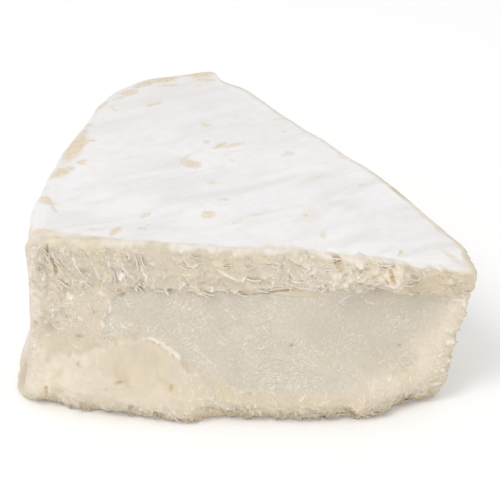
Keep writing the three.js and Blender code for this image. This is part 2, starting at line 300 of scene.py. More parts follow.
points, outs, shares = [], [], []
first_mark = 0
for wall in walls:
    count = round(wall["length"] / wall["spacing"])
    for k in range(count):
        mark = first_mark + wall["marks"] * k // count
        point, share = blended(mark)
        side = blended(mark + SIDE_MARKS)[0] - blended(mark - SIDE_MARKS)[0]
        side /= np.linalg.norm(side)
        points.append(point)
        outs.append((side[1], -side[0]))
        shares.append(share)
    first_mark += wall["marks"]
plan = np.array(points)
outward = np.array(outs)
share_front, share_tip, share_back, share_rind = np.array(shares).T
LEAST_SLANT = 0.45  # keeps the way inward from running along a wall
inward = (heart - plan) / np.linalg.norm(heart - plan, axis=1, keepdims=True)
inward /= np.maximum(LEAST_SLANT, -(inward * outward).sum(1))[:, None]
print("columns", len(plan))

# %% Place along each wall


def along_line(start, end):
    length = np.linalg.norm(end - start)
    return np.clip((plan - start) @ (end - start) / length, 0, length)


reach = plan - tip_front
turn = np.pi + front_heading - np.mod(np.arctan2(reach[:, 1], reach[:, 0]), 2 * np.pi)
along_front = along_line(front_corner, tip_front)
along_tip = along_line(tip_front, tip_back)
along_back = along_line(tip_back, back_corner)
along_rind = rim_length * (1 - np.clip(turn / math.radians(CUT_ANGLE), 0, 1))

# %% [markdown]
# ## Height of the top
# The rind side is 47.5 mm tall and the tip has sunk. On top of the solid's shallow waves go
# finer ones that run with the sweep of the rind's surface.

# %% Top
RIM_HEIGHT = 47.5  # mm
TIP_HEIGHT = 39.8
TOP_WAVE = 0.45
SWEEP = math.radians(30)  # the rind's faint streaks run this way, seen from above


def top_height(x, y):
    reach = np.clip(np.hypot(x - tip_front[0], y - tip_front[1]) / FRONT_LENGTH, 0, 1)
    wave = uneven(x / 17 + 3, y / 13) + 0.6 * uneven(x / 8, y / 7 + 5)
    return mix(TIP_HEIGHT, RIM_HEIGHT, reach) + TOP_WAVE * wave


def top_streaks(x, y):
    a = x * math.cos(SWEEP) + y * math.sin(SWEEP)
    b = y * math.cos(SWEEP) - x * math.sin(SWEEP)
    return 0.15 * uneven(a / 14, b / 3.2) + 0.2 * uneven(a / 22 + 4, b / 7)


column_top = top_height(plan[:, 0], plan[:, 1])

# %% [markdown]
# ## Relief of the long cut
# A knife drags soft cheese: it tears the ripened band under the rind into thin overlapping
# flakes, scrapes the core smooth and leaves the foot to flow out below.
# `pulled` lays such flakes in slanting rows. Each has a level of its own, and where one stands
# higher than its neighbour its border is a thin lip.

# %% Flakes of pulled paste


def pulled(along, high, wide, tall, turn, seed):
    """Flakes of pulled paste at different levels, each with a thin lip where it stands proud.

    Each flake is about wide by tall mm and lies turn degrees below the horizontal.
    Returns the lips, the hollows inside the flakes and the levels, all from 0 to 1.
    """
    turn = math.radians(turn)
    u = (along * math.cos(turn) - high * math.sin(turn)) / wide
    v = (along * math.sin(turn) + high * math.cos(turn)) / tall
    u = u + 0.4 * uneven(along / 3.1 + seed, high / 2.6) + 0.14 * uneven(along / 0.9, high / 0.9 + seed)
    v = v + 0.4 * uneven(along / 2.7, high / 3.1 + seed) + 0.14 * uneven(along / 0.9 + seed, high / 0.9)
    nearest = np.full(np.broadcast(u, v).shape, 9.0)
    second = nearest.copy()
    level = np.zeros_like(nearest)
    other = level.copy()
    for step_u in (-1, 0, 1):
        for step_v in (-1, 0, 1):
            i = np.floor(u) + step_u
            j = np.floor(v) + step_v
            far = np.hypot(u - i - scatter(i + 13 * seed, j), v - j - scatter(i, j + 17 * seed))
            own = scatter(i + 3 * seed, j + 5 * seed)
            closer = far < nearest
            next_closer = ~closer & (far < second)
            other = np.where(closer, level, np.where(next_closer, own, other))
            second = np.where(closer, nearest, np.where(next_closer, far, second))
            level = np.where(closer, own, level)
            nearest = np.where(closer, far, nearest)
    gap = second - nearest
    lip = bell(gap, 0, 0.13) * ramp(0.05, 0.5, level - other)
    return lip, ramp(0, 0.7, gap), level


# %% Sizes of the cuts' main forms
LEDGE_HEIGHT = 33.4  # mm, where the torn band ends above the core
LEDGE_RISE = {"up": 1.2, "at": 0.64, "spread": 0.12}
LEDGE_STEP = 0.9
LEDGE_OVERHANG = 2.4
LEDGE_EDGE = 0.75
FACE_LEAN = 3.8  # mm, how far the face slopes out below the ledge
FOOT_OUT = 6.4  # mm, how far the foot has flowed out
FOOT_HEIGHT = 16.0
LIP_HEIGHT = 5.0
TORN_FROM = 6.0  # mm below the top, where the solid's tears reach their full depth
SHINGLE = {"wide": 11.0, "tall": 6.5, "lip": 0.75, "out": 0.8}

# place along the cut from the rind end, height, half width, half height, how far out
FRONT_SHAPES = [
    (18, 13, 12, 8, 2.6),
    (1, 5, 4.5, 4, 2.0),
    (8, 4, 2.6, 4, -1.6),
    (12, 28, 8, 8, -1.4),
    (6, 39, 2, 5, -1.8),
    (84, 7, 12, 4, 1.2),
    (16, 13, 8, 6, 2.6),
    (28, 11, 9, 4, 1.0),
    (6, 18.5, 5, 5, -2.2),
    (16, 24, 8, 3, -0.8),
    (76, 37, 6, 5, 1.5),
    (92, 36, 4, 3, 1.8),
    (88, 33, 3, 2, -1),
    (74, 43, 14, 4, -3),
]
# the same for the other cut, from the tip
BACK_SHAPES = [
    (20, 8, 14, 7, 1.6),
    (44, 35, 10, 6, 1.2),
    (66, 14, 9, 8, -1.2),
    (84, 30, 8, 7, 1.4),
    (100, 44, 6, 7, -3.6),
]

# %% Main forms of the cuts


def shapes_at(shapes, along, high):
    """How far a set of soft bumps and hollows stands out, in mm."""
    return sum(out * bell(along, at, wide) * bell(high, level, tall) for at, level, wide, tall, out in shapes)


def flow(foot, lean, high):
    """A foot that has flowed out, below a face that leans."""
    slope = np.clip((LEDGE_HEIGHT - high) / (LEDGE_HEIGHT - LIP_HEIGHT), 0, 1)
    return foot * ramp(FOOT_HEIGHT, LIP_HEIGHT, high) + lean * slope**1.5


def ledge_line(along):
    """Height of the ledge's edge."""
    rise = LEDGE_RISE["up"] * bell(along / FRONT_LENGTH, LEDGE_RISE["at"], LEDGE_RISE["spread"])
    return LEDGE_HEIGHT + rise + 0.8 * uneven(along / 7, 2)


def solid_shingles(along, high):
    """The large flakes that the solid has too, with their straight borders made crooked."""
    crooked = 1.3 * uneven(along / 5.5, high / 5.5 + 40)
    a = (along * 0.8 - high * 0.6) / SHINGLE["wide"] + 0.15 * uneven(along / 6, high / 6 + 50)
    b = (along * 0.6 + high * 0.8 + crooked) / SHINGLE["tall"]
    row = np.floor(b)
    shifted = a + scatter(row, 7)
    cell = np.floor(shifted)
    rise = 1 - (b - row)
    lip = np.where(rise < SHINGLE["lip"], rise / SHINGLE["lip"], (1 - rise) / (1 - SHINGLE["lip"]))
    ends = np.sin(np.pi * (shifted - cell))
    return SHINGLE["out"] * (0.3 + 0.7 * scatter(cell, row)) * lip * np.sqrt(ends)


def front_forms(along, high, depth, below):
    """Outward relief of the solid's long cut; below is 1 under the ledge and 0 above it."""
    share = along / FRONT_LENGTH
    step = LEDGE_STEP * ramp(0.12, 0.35, share)
    overhang = LEDGE_OVERHANG * between(share, 0.62, 0.82, 0.92, 1.06)
    fullness = between(share, -0.16, 0.38, 0.72, 1.15)
    band = (1 - below) * ramp(0, TORN_FROM, depth)
    rind_end = ramp(0.28, 0.12, share) * below
    torn = solid_shingles(along, high) * np.clip(band + 0.8 * rind_end, 0, 1) * ramp(6, 14, high)
    scraped = 0.35 * uneven(along / 11, high / 7) * below
    soft = flow(FOOT_OUT * fullness, FACE_LEAN * fullness, high)
    return torn + scraped + soft - (step + overhang) * below + shapes_at(FRONT_SHAPES, along, high)


def back_forms(along, high, depth):
    """The same for the other cut, which also gives where it is below its ledge."""
    below = ramp(LEDGE_HEIGHT + 0.6, LEDGE_HEIGHT - 0.6, high + 1.5 * uneven(along / 10, 9))
    torn = solid_shingles(along + 60, high) * (1 - below) * ramp(0, TORN_FROM, depth)
    fullness = np.sin(np.pi * np.clip(along / back_length, 0, 1))
    soft = flow(3.6 * fullness, 1.4 * fullness, high)
    return torn + soft - 1.1 * below + shapes_at(BACK_SHAPES, along, high), below


# %% [markdown]
# ## The chalky core and its border
# The core is the part that hasn't ripened yet. On the long cut it starts under the ledge,
# ends in a ragged bracket at the rind end and is covered by the creamy lump below.
# Its border is a few points joined up and then made ragged.

# %% Core
CORE_LEFT = (
    [0, 16, 20, 24, 26, 29, 32, 34, 40],  # heights
    [34, 24, 19.5, 19.8, 20.4, 21.2, 24.2, 27, 30],  # places along
)
CORE_FLOOR = (
    [0, 20, 26, 29.6, 34, 39.8, 44, 53, 70, 86, 96, 104, 112],  # places along
    [21, 19.5, 19.2, 20.0, 17.4, 13.6, 11.5, 9, 8, 8, 10, 12.5, 15],  # heights
)
CORE_RIGHT = 106.5
LUMP_TOP = (
    [2, 4.5, 8.7, 14.7, 20.7, 25.0, 29.6, 34.0, 39.8, 44.0, 50.0],  # places along
    [9, 12.5, 16.0, 18.4, 18.4, 18.6, 20.2, 17.4, 13.4, 10.5, 7.5],  # heights
)


def core_share(along, high, ledge):
    """1 in the chalky core of the long cut and 0 in the ripened cheese round it."""
    ragged = 1.1 * rough(along / 5, high / 5) + 0.5 * uneven(along / 1.2, high / 1.1)
    from_left = along - np.interp(high, *CORE_LEFT) + 0.5 * ragged
    left = ramp(-0.3, 0.3, from_left)
    soft_border = 0.6 + 1.8 * bell(along, 26, 12)
    over_floor = high - np.interp(along, *CORE_FLOOR) + 0.8 * ragged
    floor_line = ramp(-soft_border, soft_border, over_floor)
    right = ramp(0.6, -0.6, along - CORE_RIGHT + ragged)
    return left * floor_line * right * ramp(0.3, -0.3, high - ledge)


# %% [markdown]
# ### Marks that are placed one by one
# Most of the fine relief is scattered, but the marks that give this cut its character have
# places of their own: pits, folds, the white strands that the knife pulled out, and the
# scratches that it left in the core. Each is one row of a table, in mm.

# %% Pits and folds
# place along, height, half width, half height, depth
PITS = [
    (2.6, 22.5, 0.7, 0.5, 0.6),
    (13.6, 20.2, 0.8, 0.4, 0.9),
    (13.6, 14.8, 0.4, 0.4, 0.6),
    (24.2, 11.0, 1.0, 0.4, 0.8),
    (36.4, 8.8, 0.7, 0.7, 0.6),
    (20.5, 9.4, 0.6, 0.5, 0.3),
    (66.6, 17.6, 0.4, 0.5, 0.6),
    (56.0, 8.0, 0.5, 0.4, 0.5),
    (95.0, 16.0, 0.7, 0.3, 0.5),
    (24.5, 31.5, 1.0, 0.7, 0.7),
]
# start (along, high), end (along, high), half width, depth, bow
FOLDS = [
    ((6.4, 46.0), (6.6, 41.6), 0.24, 0.9, 0.0),
    ((6.6, 42.4), (8.9, 36.2), 0.42, 1.2, 0.3),
    ((77.6, 43.4), (77.0, 40.4), 0.50, 1.3, 0.0),
    ((55.0, 31.0), (74.3, 34.3), 0.22, 0.7, 0.3),
    ((89.6, 39.4), (91.6, 36.8), 0.40, 0.9, 0.3),
    ((33.0, 18.0), (36.5, 15.8), 0.4, 0.4, 0.0),
    ((20.6, 14.6), (27.4, 8.8), 0.70, 0.24, 0.5),
    ((32.0, 12.6), (39.0, 8.4), 0.60, 0.22, -0.5),
    ((9.6, 14.0), (6.6, 8.8), 0.60, 0.22, 0.4),
    ((5.2, 7.0), (4.8, 4.2), 0.5, 0.8, 0.0),
]

# %% Strands and scratches
# white strands and lips that stand proud, given in the same way
STRANDS = [
    ((12.9, 43.7), (14.3, 38.6), 0.15, 0.35, -0.4),
    ((17.9, 41.5), (20.7, 35.0), 0.15, 0.30, -0.4),
    ((21.7, 43.7), (22.2, 37.6), 0.15, 0.30, -0.5),
    ((24.6, 42.5), (28.1, 36.0), 0.15, 0.40, -0.9),
    ((28.1, 41.5), (30.6, 34.7), 0.15, 0.40, 0.5),
    ((25.4, 44.4), (26.8, 42.0), 0.15, 0.30, 0.0),
    ((6.0, 42.8), (8.2, 38.6), 0.15, 0.30, 0.3),
    ((9.6, 42.8), (10.7, 39.9), 0.15, 0.30, -0.3),
    ((13.0, 35.0), (14.5, 29.5), 0.15, 0.25, -0.5),
    ((20.2, 30.8), (20.8, 25.9), 0.26, 0.36, 0.8),
    ((18.4, 24.9), (20.8, 21.8), 0.24, 0.30, -0.4),
    ((21.2, 24.3), (22.8, 21.5), 0.24, 0.26, -0.5),
    ((23.4, 24.8), (26.2, 21.8), 0.24, 0.30, -0.6),
    ((39.5, 43.1), (41.7, 39.9), 0.15, 0.40, -0.2),
    ((41.7, 39.9), (43.3, 41.3), 0.15, 0.35, -0.2),
    ((47.0, 40.2), (54.4, 36.0), 0.15, 0.40, -0.2),
    ((54.4, 36.0), (55.3, 38.2), 0.15, 0.40, 0.3),
    ((46.2, 40.6), (50.4, 40.9), 0.15, 0.30, -0.2),
    ((61.0, 38.8), (60.8, 33.6), 0.15, 0.35, 0.7),
    ((54.5, 31.7), (74.8, 34.9), 0.15, 0.40, 0.3),
    ((65.0, 40.0), (66.9, 36.0), 0.15, 0.30, 0.2),
    ((68.4, 40.0), (70.2, 37.6), 0.15, 0.30, -0.2),
    ((70.2, 37.6), (72.6, 40.0), 0.15, 0.30, 0.2),
    ((58.5, 41.6), (65.5, 40.6), 0.15, 0.35, -0.3),
    ((89.4, 37.0), (93.0, 37.6), 0.20, 0.45, -0.9),
    ((101.2, 37.0), (106.4, 36.9), 0.15, 0.35, -0.5),
    ((28.6, 20.8), (40.0, 13.6), 0.36, 0.36, 0.2),
    ((25.0, 4.2), (27.4, 0.8), 0.15, 0.45, -0.5),
    ((36.5, 5.0), (38.8, 1.2), 0.15, 0.40, 0.4),
    ((48.5, 4.6), (52.5, 3.4), 0.15, 0.30, 0.3),
    ((54.5, 5.5), (57.5, 1.5), 0.15, 0.45, 0.3),
    ((57.2, 6.0), (59.5, 2.0), 0.15, 0.40, -0.3),
    ((92.5, 3.0), (96.0, 4.4), 0.20, 0.35, 0.3),
]
# scratches in the core, given in the same way; each also throws up a low lip
SCRATCHES = [
    ((43.8, 27.0), (50.3, 17.5), 0.36, 0.42, -1.6),
    ((45.5, 27.2), (52.0, 18.0), 0.31, 0.34, -1.6),
    ((40.5, 29.5), (55.5, 22.5), 0.31, 0.28, 0.7),
    ((46.5, 19.0), (56.0, 14.0), 0.31, 0.28, 0.3),
    ((36.0, 19.0), (47.5, 11.0), 0.34, 0.42, 0.3),
    ((38.5, 19.0), (50.0, 10.5), 0.31, 0.34, 0.3),
    ((75.0, 16.0), (86.0, 6.0), 0.28, 0.36, -0.6),
    ((78.0, 16.5), (88.5, 7.0), 0.31, 0.34, -0.6),
    ((66.0, 13.4), (84.0, 4.0), 0.28, 0.36, -0.4),
    ((69.0, 17.0), (82.0, 6.5), 0.29, 0.23, -0.5),
    ((99.0, 30.2), (103.0, 18.8), 0.36, 0.42, -0.5),
    ((94.0, 30.0), (98.0, 19.0), 0.31, 0.27, -1.2),
    ((89.8, 21.5), (94.2, 16.6), 0.31, 0.34, 0.0),
    ((57.0, 8.6), (70.0, 5.0), 0.28, 0.36, 0.0),
]

# %% Soft places
# place along, height, half width, half height, share: fresh soft paste, brighter and warmer
SOFT_PLACES = [
    (9, 9.5, 6.5, 5.0, 0.6),
    (33, 8, 12, 3.0, 0.3),
    (1, 5, 5, 4, 1.0),
    (92, 8, 10, 3, 1.0),
    (103, 14, 4, 8, 0.9),
    (91, 37.5, 4, 4.5, 0.9),
    (83, 41.0, 5, 3.0, 0.85),
    (108, 26, 4, 10, 1.0),
    (16, 29, 8, 7, 0.25),
    (66, 33, 12, 2, 0.3),
]
# a bare dent in the rim
RIM_DENT = {"at": 78.2, "wide": 1.0, "deep": 1.3}

# %% Lines and lips


def along_lines(lines, along, high):
    """For each bowed line its half width, its depth, its fading ends and how far above it."""
    for (a0, h0), (a1, h1), wide, depth, bow in lines:
        length = math.hypot(a1 - a0, h1 - h0)
        ca, ch = (a1 - a0) / length, (h1 - h0) / length
        u = ((along - a0) * ca + (high - h0) * ch) / length
        v = (high - h0) * ca - (along - a0) * ch - bow * 4 * np.clip(u, 0, 1) * (1 - np.clip(u, 0, 1))
        yield wide, depth, between(u, -0.04, 0.3, 0.8, 1.04), v


def lines_at(lines, along, high):
    """How deep a set of bowed lines cuts in, in mm."""
    return sum(depth * ends * bell(v, 0, wide) for wide, depth, ends, v in along_lines(lines, along, high))


def lips_at(lines, along, high):
    """How far a set of lips stands out, in mm: a slow rise from above and a steep drop below."""
    return sum(
        rise * ends * np.where(v > 0, np.exp(-v / (3 * wide)), bell(v, 0, wide))
        for wide, rise, ends, v in along_lines(lines, along, high)
    )


def placed_marks(along, high):
    """Depth of the pits, folds and scratches, and rise of the scraped edges and strands."""
    bent = along + 0.5 * rough(along / 1.7, high / 1.7 + 60)
    level = high + 0.5 * rough(along / 1.7 + 60, high / 1.7)
    shaken = along + 0.3 * (bent - along)
    pits = shapes_at(PITS, bent, level)
    folds = lines_at(FOLDS, bent, level)
    scratches = lines_at(SCRATCHES, shaken, high)
    scraped_up = lips_at(SCRATCHES, shaken - 0.35, high + 0.35)
    pulled_along = along + 0.4 * rough(along / 2.2, high / 2.2)
    pulled_high = high + 0.3 * rough(along / 2, high / 2 + 5)
    strands = 1.3 * lips_at(STRANDS, pulled_along, pulled_high)
    return pits, folds, scratches, scraped_up, strands


# %% [markdown]
# ### Features of the long cut, one by one
# Each feature is a small function of the place on the cut, so that it can be seen and changed
# alone: the ledge with its hanging tongues, the torn band, the lump, the foot, and the places
# that have crumbled. `along` is the distance from the rind end and `high` the height, in mm.

# %% Zones of the long cut
# in mm along it: where each starts, is full, is still full and ends
RIND_END = (2.0, 5.0, 17, 24)
LUMP = (3.5, 6.0, 42, 50)
LEDGE_FRINGE = (22, 28, 107, 111)
LEDGE_LIP = (24, 34, 62, 74)
TIP_CRUMBS = (58, 64, 92, 104)
DRAPED = (0.5, 2.0, FRONT_LENGTH - 10, FRONT_LENGTH - 5)
# place and half width of the stretch where the rim has broken away
BROKEN_RIM = (84, 11)
# place along, height, half width, half height, share
LOOSE_PLACES = [(93, 8.5, 8, 3, 1.0), (50, 7.5, 14, 2.5, 0.7)]

# %% Ledge with hanging tongues


def ragged_ledge(along):
    """Height of the ledge's torn edge, and how far its tongues hang, from 0 to 1."""
    wander = along / 2.5 + 0.7 * uneven(along / 3.7, 21)
    tongue = np.floor(wander)
    across = wander - tongue
    length = mix(scatter(tongue, 31), scatter(tongue + 1, 31), across) ** 1.5
    hang = length * np.abs(2 * across - 1) ** 2.5
    hang = hang * (1 - bell(along, 65, 8)) * ramp(20, 26, along)
    return ledge_line(along) - 1.1 * hang, hang


# %% Torn band
# width, height, degrees below the horizontal and seed of each kind of flake
HANGING_FLAKES = (6.2, 3.2, 28, 1)
STEEP_FLAKES = (7.5, 2.8, 60, 2)
SMALL_FLAKES = (2.4, 1.2, 40, 3)


def torn_band(along, high, busy, left):
    """Relief and lips of the flakes, where it is busy; towards the rind end they lie steeper."""
    hanging, hung, hung_level = pulled(along, high, *HANGING_FLAKES)
    steep, steeped, steep_level = pulled(along, high, *STEEP_FLAKES)
    small, shallow, fine = pulled(along, high, *SMALL_FLAKES)
    part = mix(0.4, 1.0, ramp(-0.5, 0.3, rough(along / 4 + 9, high / 4)))
    ridges = mix(hanging, steep, left) * part
    large = 0.4 * ridges - 0.5 * mix(hung, steeped, left) + 0.9 * mix(hung_level, steep_level, left)
    little = 0.18 * small - 0.15 * shallow + 0.3 * fine
    torn = busy * mix(1, 0.75, left) * (large + little)
    return torn, busy * np.maximum(0.9 * ridges, 0.7 * small * part)


# %% Lump and foot
FOOT_FLAKES = (4.2, 2.0, 35, 5)


def lump_share(along, high):
    """1 on the fresh lump at the rind end, and 0 beyond its ragged upper border."""
    ragged = 1.1 * uneven(along / 3.1, high / 4 + 11) + 0.6 * uneven(along / 1.1, high / 1.2 + 33)
    inside = np.interp(along, *LUMP_TOP) - high + ragged
    return ramp(-0.35, 0.5, inside) * between(along, *LUMP)


def torn_foot(along, high, foot):
    """Relief and lips of the foot."""
    ridges, hollows, steps = pulled(along, high, *FOOT_FLAKES)
    ragged = 0.5 * ridges - 0.6 * hollows + 0.9 * steps
    ragged = ragged + 0.9 * uneven(along / 5.3, 5) + 0.22 * uneven(along / 1.6, high / 1.5 + 7)
    return foot * (ragged - 0.5), foot * ridges


# %% Crumbled places


def crumbled(along, high, depth, below):
    """Relief and lips of what has crumbled, and where the dry crust at the rind end is."""
    crumbs = 0.6 * rough(along / 2.6, high / 2.4) * between(along, *TIP_CRUMBS) * ramp(9, 3, depth)
    rim = bell(along, *BROKEN_RIM) * ramp(33, 36, high) * (1 - below)
    rim_bits = rough(along / 1.7, high / 1.6)
    loose = 1.5 * bell(along, FRONT_LENGTH, 5) * below + shapes_at(LOOSE_PLACES, along, high)
    bits = rough(along / 1.5 + 7, high / 1.2)
    crust = ramp(6.5, 2.0, along) * ramp(5, 9, high) * ramp(1, 3, depth)
    crust_bits = 0.45 * rough(along / 2.1, high / 2.6) + 0.25 * rough(along / 1.1, high / 1.2)
    out = crumbs + 1.1 * rim * rim_bits + 0.45 * loose * bits + crust * crust_bits
    lip = np.maximum(0.7 * rim * ramp(0.0, 0.5, rim_bits), 0.75 * loose * ramp(0.15, 0.5, bits))
    return out, lip, crust


# %% [markdown]
# ### What the paste looks like at each place
# The material can't see the relief, so the same functions also leave marks on the points:
# where fine tears show, where tongues and draped lips grow, where the lips get a painted
# highlight and where shade is painted on the paste.

# %% Marks of the long cut


def torn_marks(along, high, depth, p):
    """Where the material shows fine tears, and where tongues and draped lips are laid."""
    low = 0.6 * ramp(14, 8, high) * ramp(30, 42, along) * (1 - p.core)
    low = low + 0.8 * bell(along, FRONT_LENGTH, 7) * p.below + 0.25 * ramp(26, 20, along) * p.below
    at_ledge = 0.5 * bell(high, p.ledge + 0.5, 0.4) * between(along, *LEDGE_FRINGE)
    at_tip = 0.9 * bell(along, FRONT_LENGTH, 1.2) * between(high, 10, 14, 30, 33)
    draped = p.busy * ramp(0.2, 1.0, p.under) * (1 + 0.8 * ramp(3, 2, depth))
    draped = draped + 3.0 * p.core_end + 0.7 * p.foot * ramp(0.8, 2.0, high)
    return {
        "tear": np.clip(1.15 * p.busy + 0.7 * p.foot + low, 0, 1) * ramp(-0.2, 0.9, p.under),
        "fringe": at_ledge + 0.12 * bell(high, 1.2, 0.9) + at_tip,
        "drape": np.clip(draped, 0, 1) * between(along, *DRAPED),
    }


def painted_lip_highlights(along, high, p, feature_lips, scraped_up):
    """How much painted highlight a lip gets: the most of all that make one."""
    return np.maximum.reduce(
        [
            *feature_lips,
            0.75 * bell(high, p.ledge + 0.3, 0.35) * between(along, *LEDGE_LIP),
            3.2 * p.core_end,
            0.55 * ramp(0.15, 0.5, scraped_up),
            ramp(0.05, 0.5, p.hang) * bell(high, p.ledge + 0.5, 0.45),
        ]
    )


def painted_warm_shade(along, high, p):
    """Painted shade in a warm yellow-brown: low on the foot, on the lower cream beside the core, and in the
    torn band near the tip.
    """
    low = 0.44 * ramp(4.5, 1.5, high) + 0.12 * ramp(12, 8, high) * ramp(30, 42, along) * (1 - p.core)
    return low + (0.08 + 0.2 * ramp(40, 36, high)) * (1 - p.below) * ramp(86, 95, along)


# %% Where the parts of the long cut are


def front_parts(along, high, depth):
    """Shares from 0 to 1, apart from the ledge's height and how far under the rind, in mm."""
    ledge, hang = ragged_ledge(along)
    below = ramp(ledge + LEDGE_EDGE, ledge - LEDGE_EDGE, high)
    # cream shows between the ledge and the core in two places
    core_top = ledge - 3.2 * bell(along, 66, 11) - 1.2 * bell(along, 100, 8)
    core = core_share(along, high, core_top)
    under = depth - 0.8 * ramp(24, 16, along)
    band = (1 - below) * ramp(-0.4, 0.9, under)
    rind_end = between(along, *RIND_END) * ramp(17, 23, high)
    patchy = ramp(-0.5, 0.5, rough(along / 9 + 3, high / 6))
    left = ramp(42, 30, along)
    busy = np.clip(band + 0.8 * rind_end * below, 0, 1) * mix(mix(0.35, 0.5, left), 1, patchy)
    bracket = ramp(21, 25, high) * ramp(34, 28, along)
    return SimpleNamespace(
        ledge=ledge,
        hang=hang,
        below=below,
        under=under,
        band=band,
        busy=busy,
        left=left,
        core=core,
        bracket=bracket,
        core_end=core * (1 - core) * bracket * below,
        lump=lump_share(along, high),
        foot=ramp(6.5, 3.0, high),
    )


def soft_relief(along, high, p):
    """The dented lump, dragged paste, paste that stands proud round the core, and fine grain."""
    dented = 0.8 + 0.5 * rough(along / 4.5 + 3, high / 2.6)
    slanted = uneven((along * 0.85 + high * 0.5) / 2.6, (high * 0.85 - along * 0.5) / 9)
    dragged = 0.35 * slanted * ramp(30, 20, along) * p.below
    proud = mix(0.15, 0.4, ramp(36, 50, along)) + 0.2 * p.bracket
    proud = proud * (1 - p.core) * p.below * ramp(6, 9, high)
    paste_grain = 0.10 * rough(along / 2.1, high / 1.7)
    core_grain = 0.04 * rough(along / 1.4, high)
    return dented * p.lump + dragged + proud + mix(paste_grain, core_grain, p.core)


# %% The long cut put together


def front_relief(along, high, depth):
    """Outward relief, how far each point hangs down, and what the points are made of."""
    p = front_parts(along, high, depth)
    torn, torn_lip = torn_band(along, high, p.busy, p.left)
    foot_out, foot_lip = torn_foot(along, high, p.foot)
    rubble, rubble_lip, crust = crumbled(along, high, depth, p.below)
    pits, folds, scratches, scraped_up, strands = placed_marks(along, high)
    torn_lip = np.maximum(torn_lip, ramp(0.1, 0.45, strands))

    out = front_forms(along, high, depth, p.below) + torn + foot_out + rubble
    out = out + soft_relief(along, high, p) + strands + 0.45 * scraped_up - 0.55 * scratches
    out = out - ramp(0.3, 1.6, depth) * (pits + folds)

    # lips and tongues hang, the rim has one dent, and its rounded edge is torn as well
    dent = bell(along, RIM_DENT["at"], RIM_DENT["wide"]) * ramp(3.4, 1.4, depth)
    rounded = between(depth, 0.1, 0.9, 1.2, 2.6) * ramp(18, 26, along)
    drop = 0.4 * torn_lip * p.band + 0.3 * foot_lip + 0.9 * p.hang * bell(high, p.ledge + 0.7, 0.6)
    drop = drop + RIM_DENT["deep"] * dent + (0.3 - 0.9 * torn) * rounded

    fresh = p.lump * mix(0.42, 0.26, ramp(20, 27, along + 0.5 * high - 8))
    # painted shade in the pits, folds and the rim's dent, where little light gets in, together with the
    # painted warm shade
    painted_shade = 0.8 * pits + 0.9 * folds + 0.35 * dent + painted_warm_shade(along, high, p)
    made = {
        "core": p.core,
        "painted_shade": np.clip(painted_shade, 0, 1),
        # painted highlight on the lips
        "lip": painted_lip_highlights(along, high, p, [torn_lip, rubble_lip, 0.4 * foot_lip], scraped_up),
        "soft": np.clip(fresh + shapes_at(SOFT_PLACES, along, high), 0, 1),
        "crust": crust * mix(0.45, 1, ramp(-0.4, 0.6, rough(along / 3, high / 4))),
        "steep": p.left + 0 * high,
        **torn_marks(along, high, depth, p),
    }
    return out, drop, made


# %% [markdown]
# ## The other walls
# The other cut has the same make-up with milder tears. The rind wall is a little hollow above
# its middle and spreads at the bottom, with shallow wrinkles where it has settled. The blunt
# tip is a broken end.

# %% Relief of the other walls


def back_relief(along, high, depth):
    """Outward relief of the other cut, and where its core is."""
    forms, below = back_forms(along, high, depth)
    ridges, hollows, steps = pulled(along + 40, high, 6.5, 3.4, 35, 6)
    band = (1 - below) * ramp(0.6, 3.5, depth)
    border = 12 + 3 * uneven(along / 13, 3)
    inside = between(along, 9, 11, back_length - 19, back_length - 16)
    core = below * ramp(border - 0.8, border + 0.8, high) * inside
    ragged = ramp(6, 3, high) * (0.8 * uneven(along / 4, 15) + 0.4 * uneven(along / 2, high / 2))
    torn = 0.5 * ridges - 0.5 * hollows + 0.6 * steps
    return forms + band * torn + ragged + 0.4 * (1 - core) * below, core


def rind_relief(along, high):
    """Outward relief of the rind wall, hollow above its middle and spread at its foot."""
    near_cut = 1 + 1.1 * bell(along, rim_length, 20)
    hollow = 2.0 * near_cut * bell(high, 0.68 * RIM_HEIGHT, 12)
    spread = 4.1 * ramp(11 - 5.5 * bell(along, rim_length, 34), 1.5, high)
    ripple = 0.5 * uneven(along / 10, high / 9 + 4) + 0.3 * uneven(along / 5, high / 14)
    wrinkle = 0.18 * uneven(along / 2.4, high / 9) + 0.12 * rough(along / 3.5, high / 2.5)
    return spread - hollow + ripple + wrinkle


def tip_relief(along, high):
    """Outward relief of the broken tip."""
    forms = 0.6 * uneven(along / 4, high / 6) - 0.8 * bell(high, 22, 7)
    ridges, hollows, steps = pulled(along, high, 3.5, 2.4, 70, 8)
    forms = forms + 0.5 * rough(along / 1.9, high / 1.5) * ramp(38, 32, high)
    return forms + (0.4 * ridges - 0.4 * hollows + 0.6 * steps) * ramp(42, 36, high)


# %% [markdown]
# ## The skin
# Rings of points are stacked from the underside to the top, as in the solid, but about four
# times as close each way. Each ring is the plan moved out by the relief, and the lips are also
# let down a little, so that they overhang. Beside its place, each point keeps what it is made of.

# %% Sizes of the skin
RIND_EDGE = 5.0  # mm, rounding of the top edge at the rind wall
CUT_EDGE = 2.0  # mm, the same at a cut
LOWER_CUT_EDGE = 3.6
LOWER_RIND_EDGE = 4.6
TIP_LEAN = 7.5  # mm, how far the tip's foot stays behind its top
TIP_LEAN_SIDEWAYS = 2.0
TIP_LEAN_REACH = 28.0
TIP_LEAN_HEIGHT = 36.0
WALL_RINGS = 128
RING_SHARE = [0, 0.22, 0.52, 1]  # the upper part of the walls has the finest relief,
HEIGHT_SHARE = [0, 0.21, 0.62, 1]  # so this share of the height gets that share of the rings
EDGE_RINGS = 7
TOP_RINGS = 24
TOP_CROWDING = 1.6  # above 1, the rings on the top lie closer near the edge
BASE_RINGS = 3
RIND_THICK = 1.7
PLAN_MIDDLE = np.array([-2.127, 42.813])  # the middle of the footprint, in the plan's own axes

# %% Rings of the walls
top_edge = mix(CUT_EDGE, RIND_EDGE, share_rind)
low_edge = mix(LOWER_CUT_EDGE, LOWER_RIND_EDGE, share_rind)

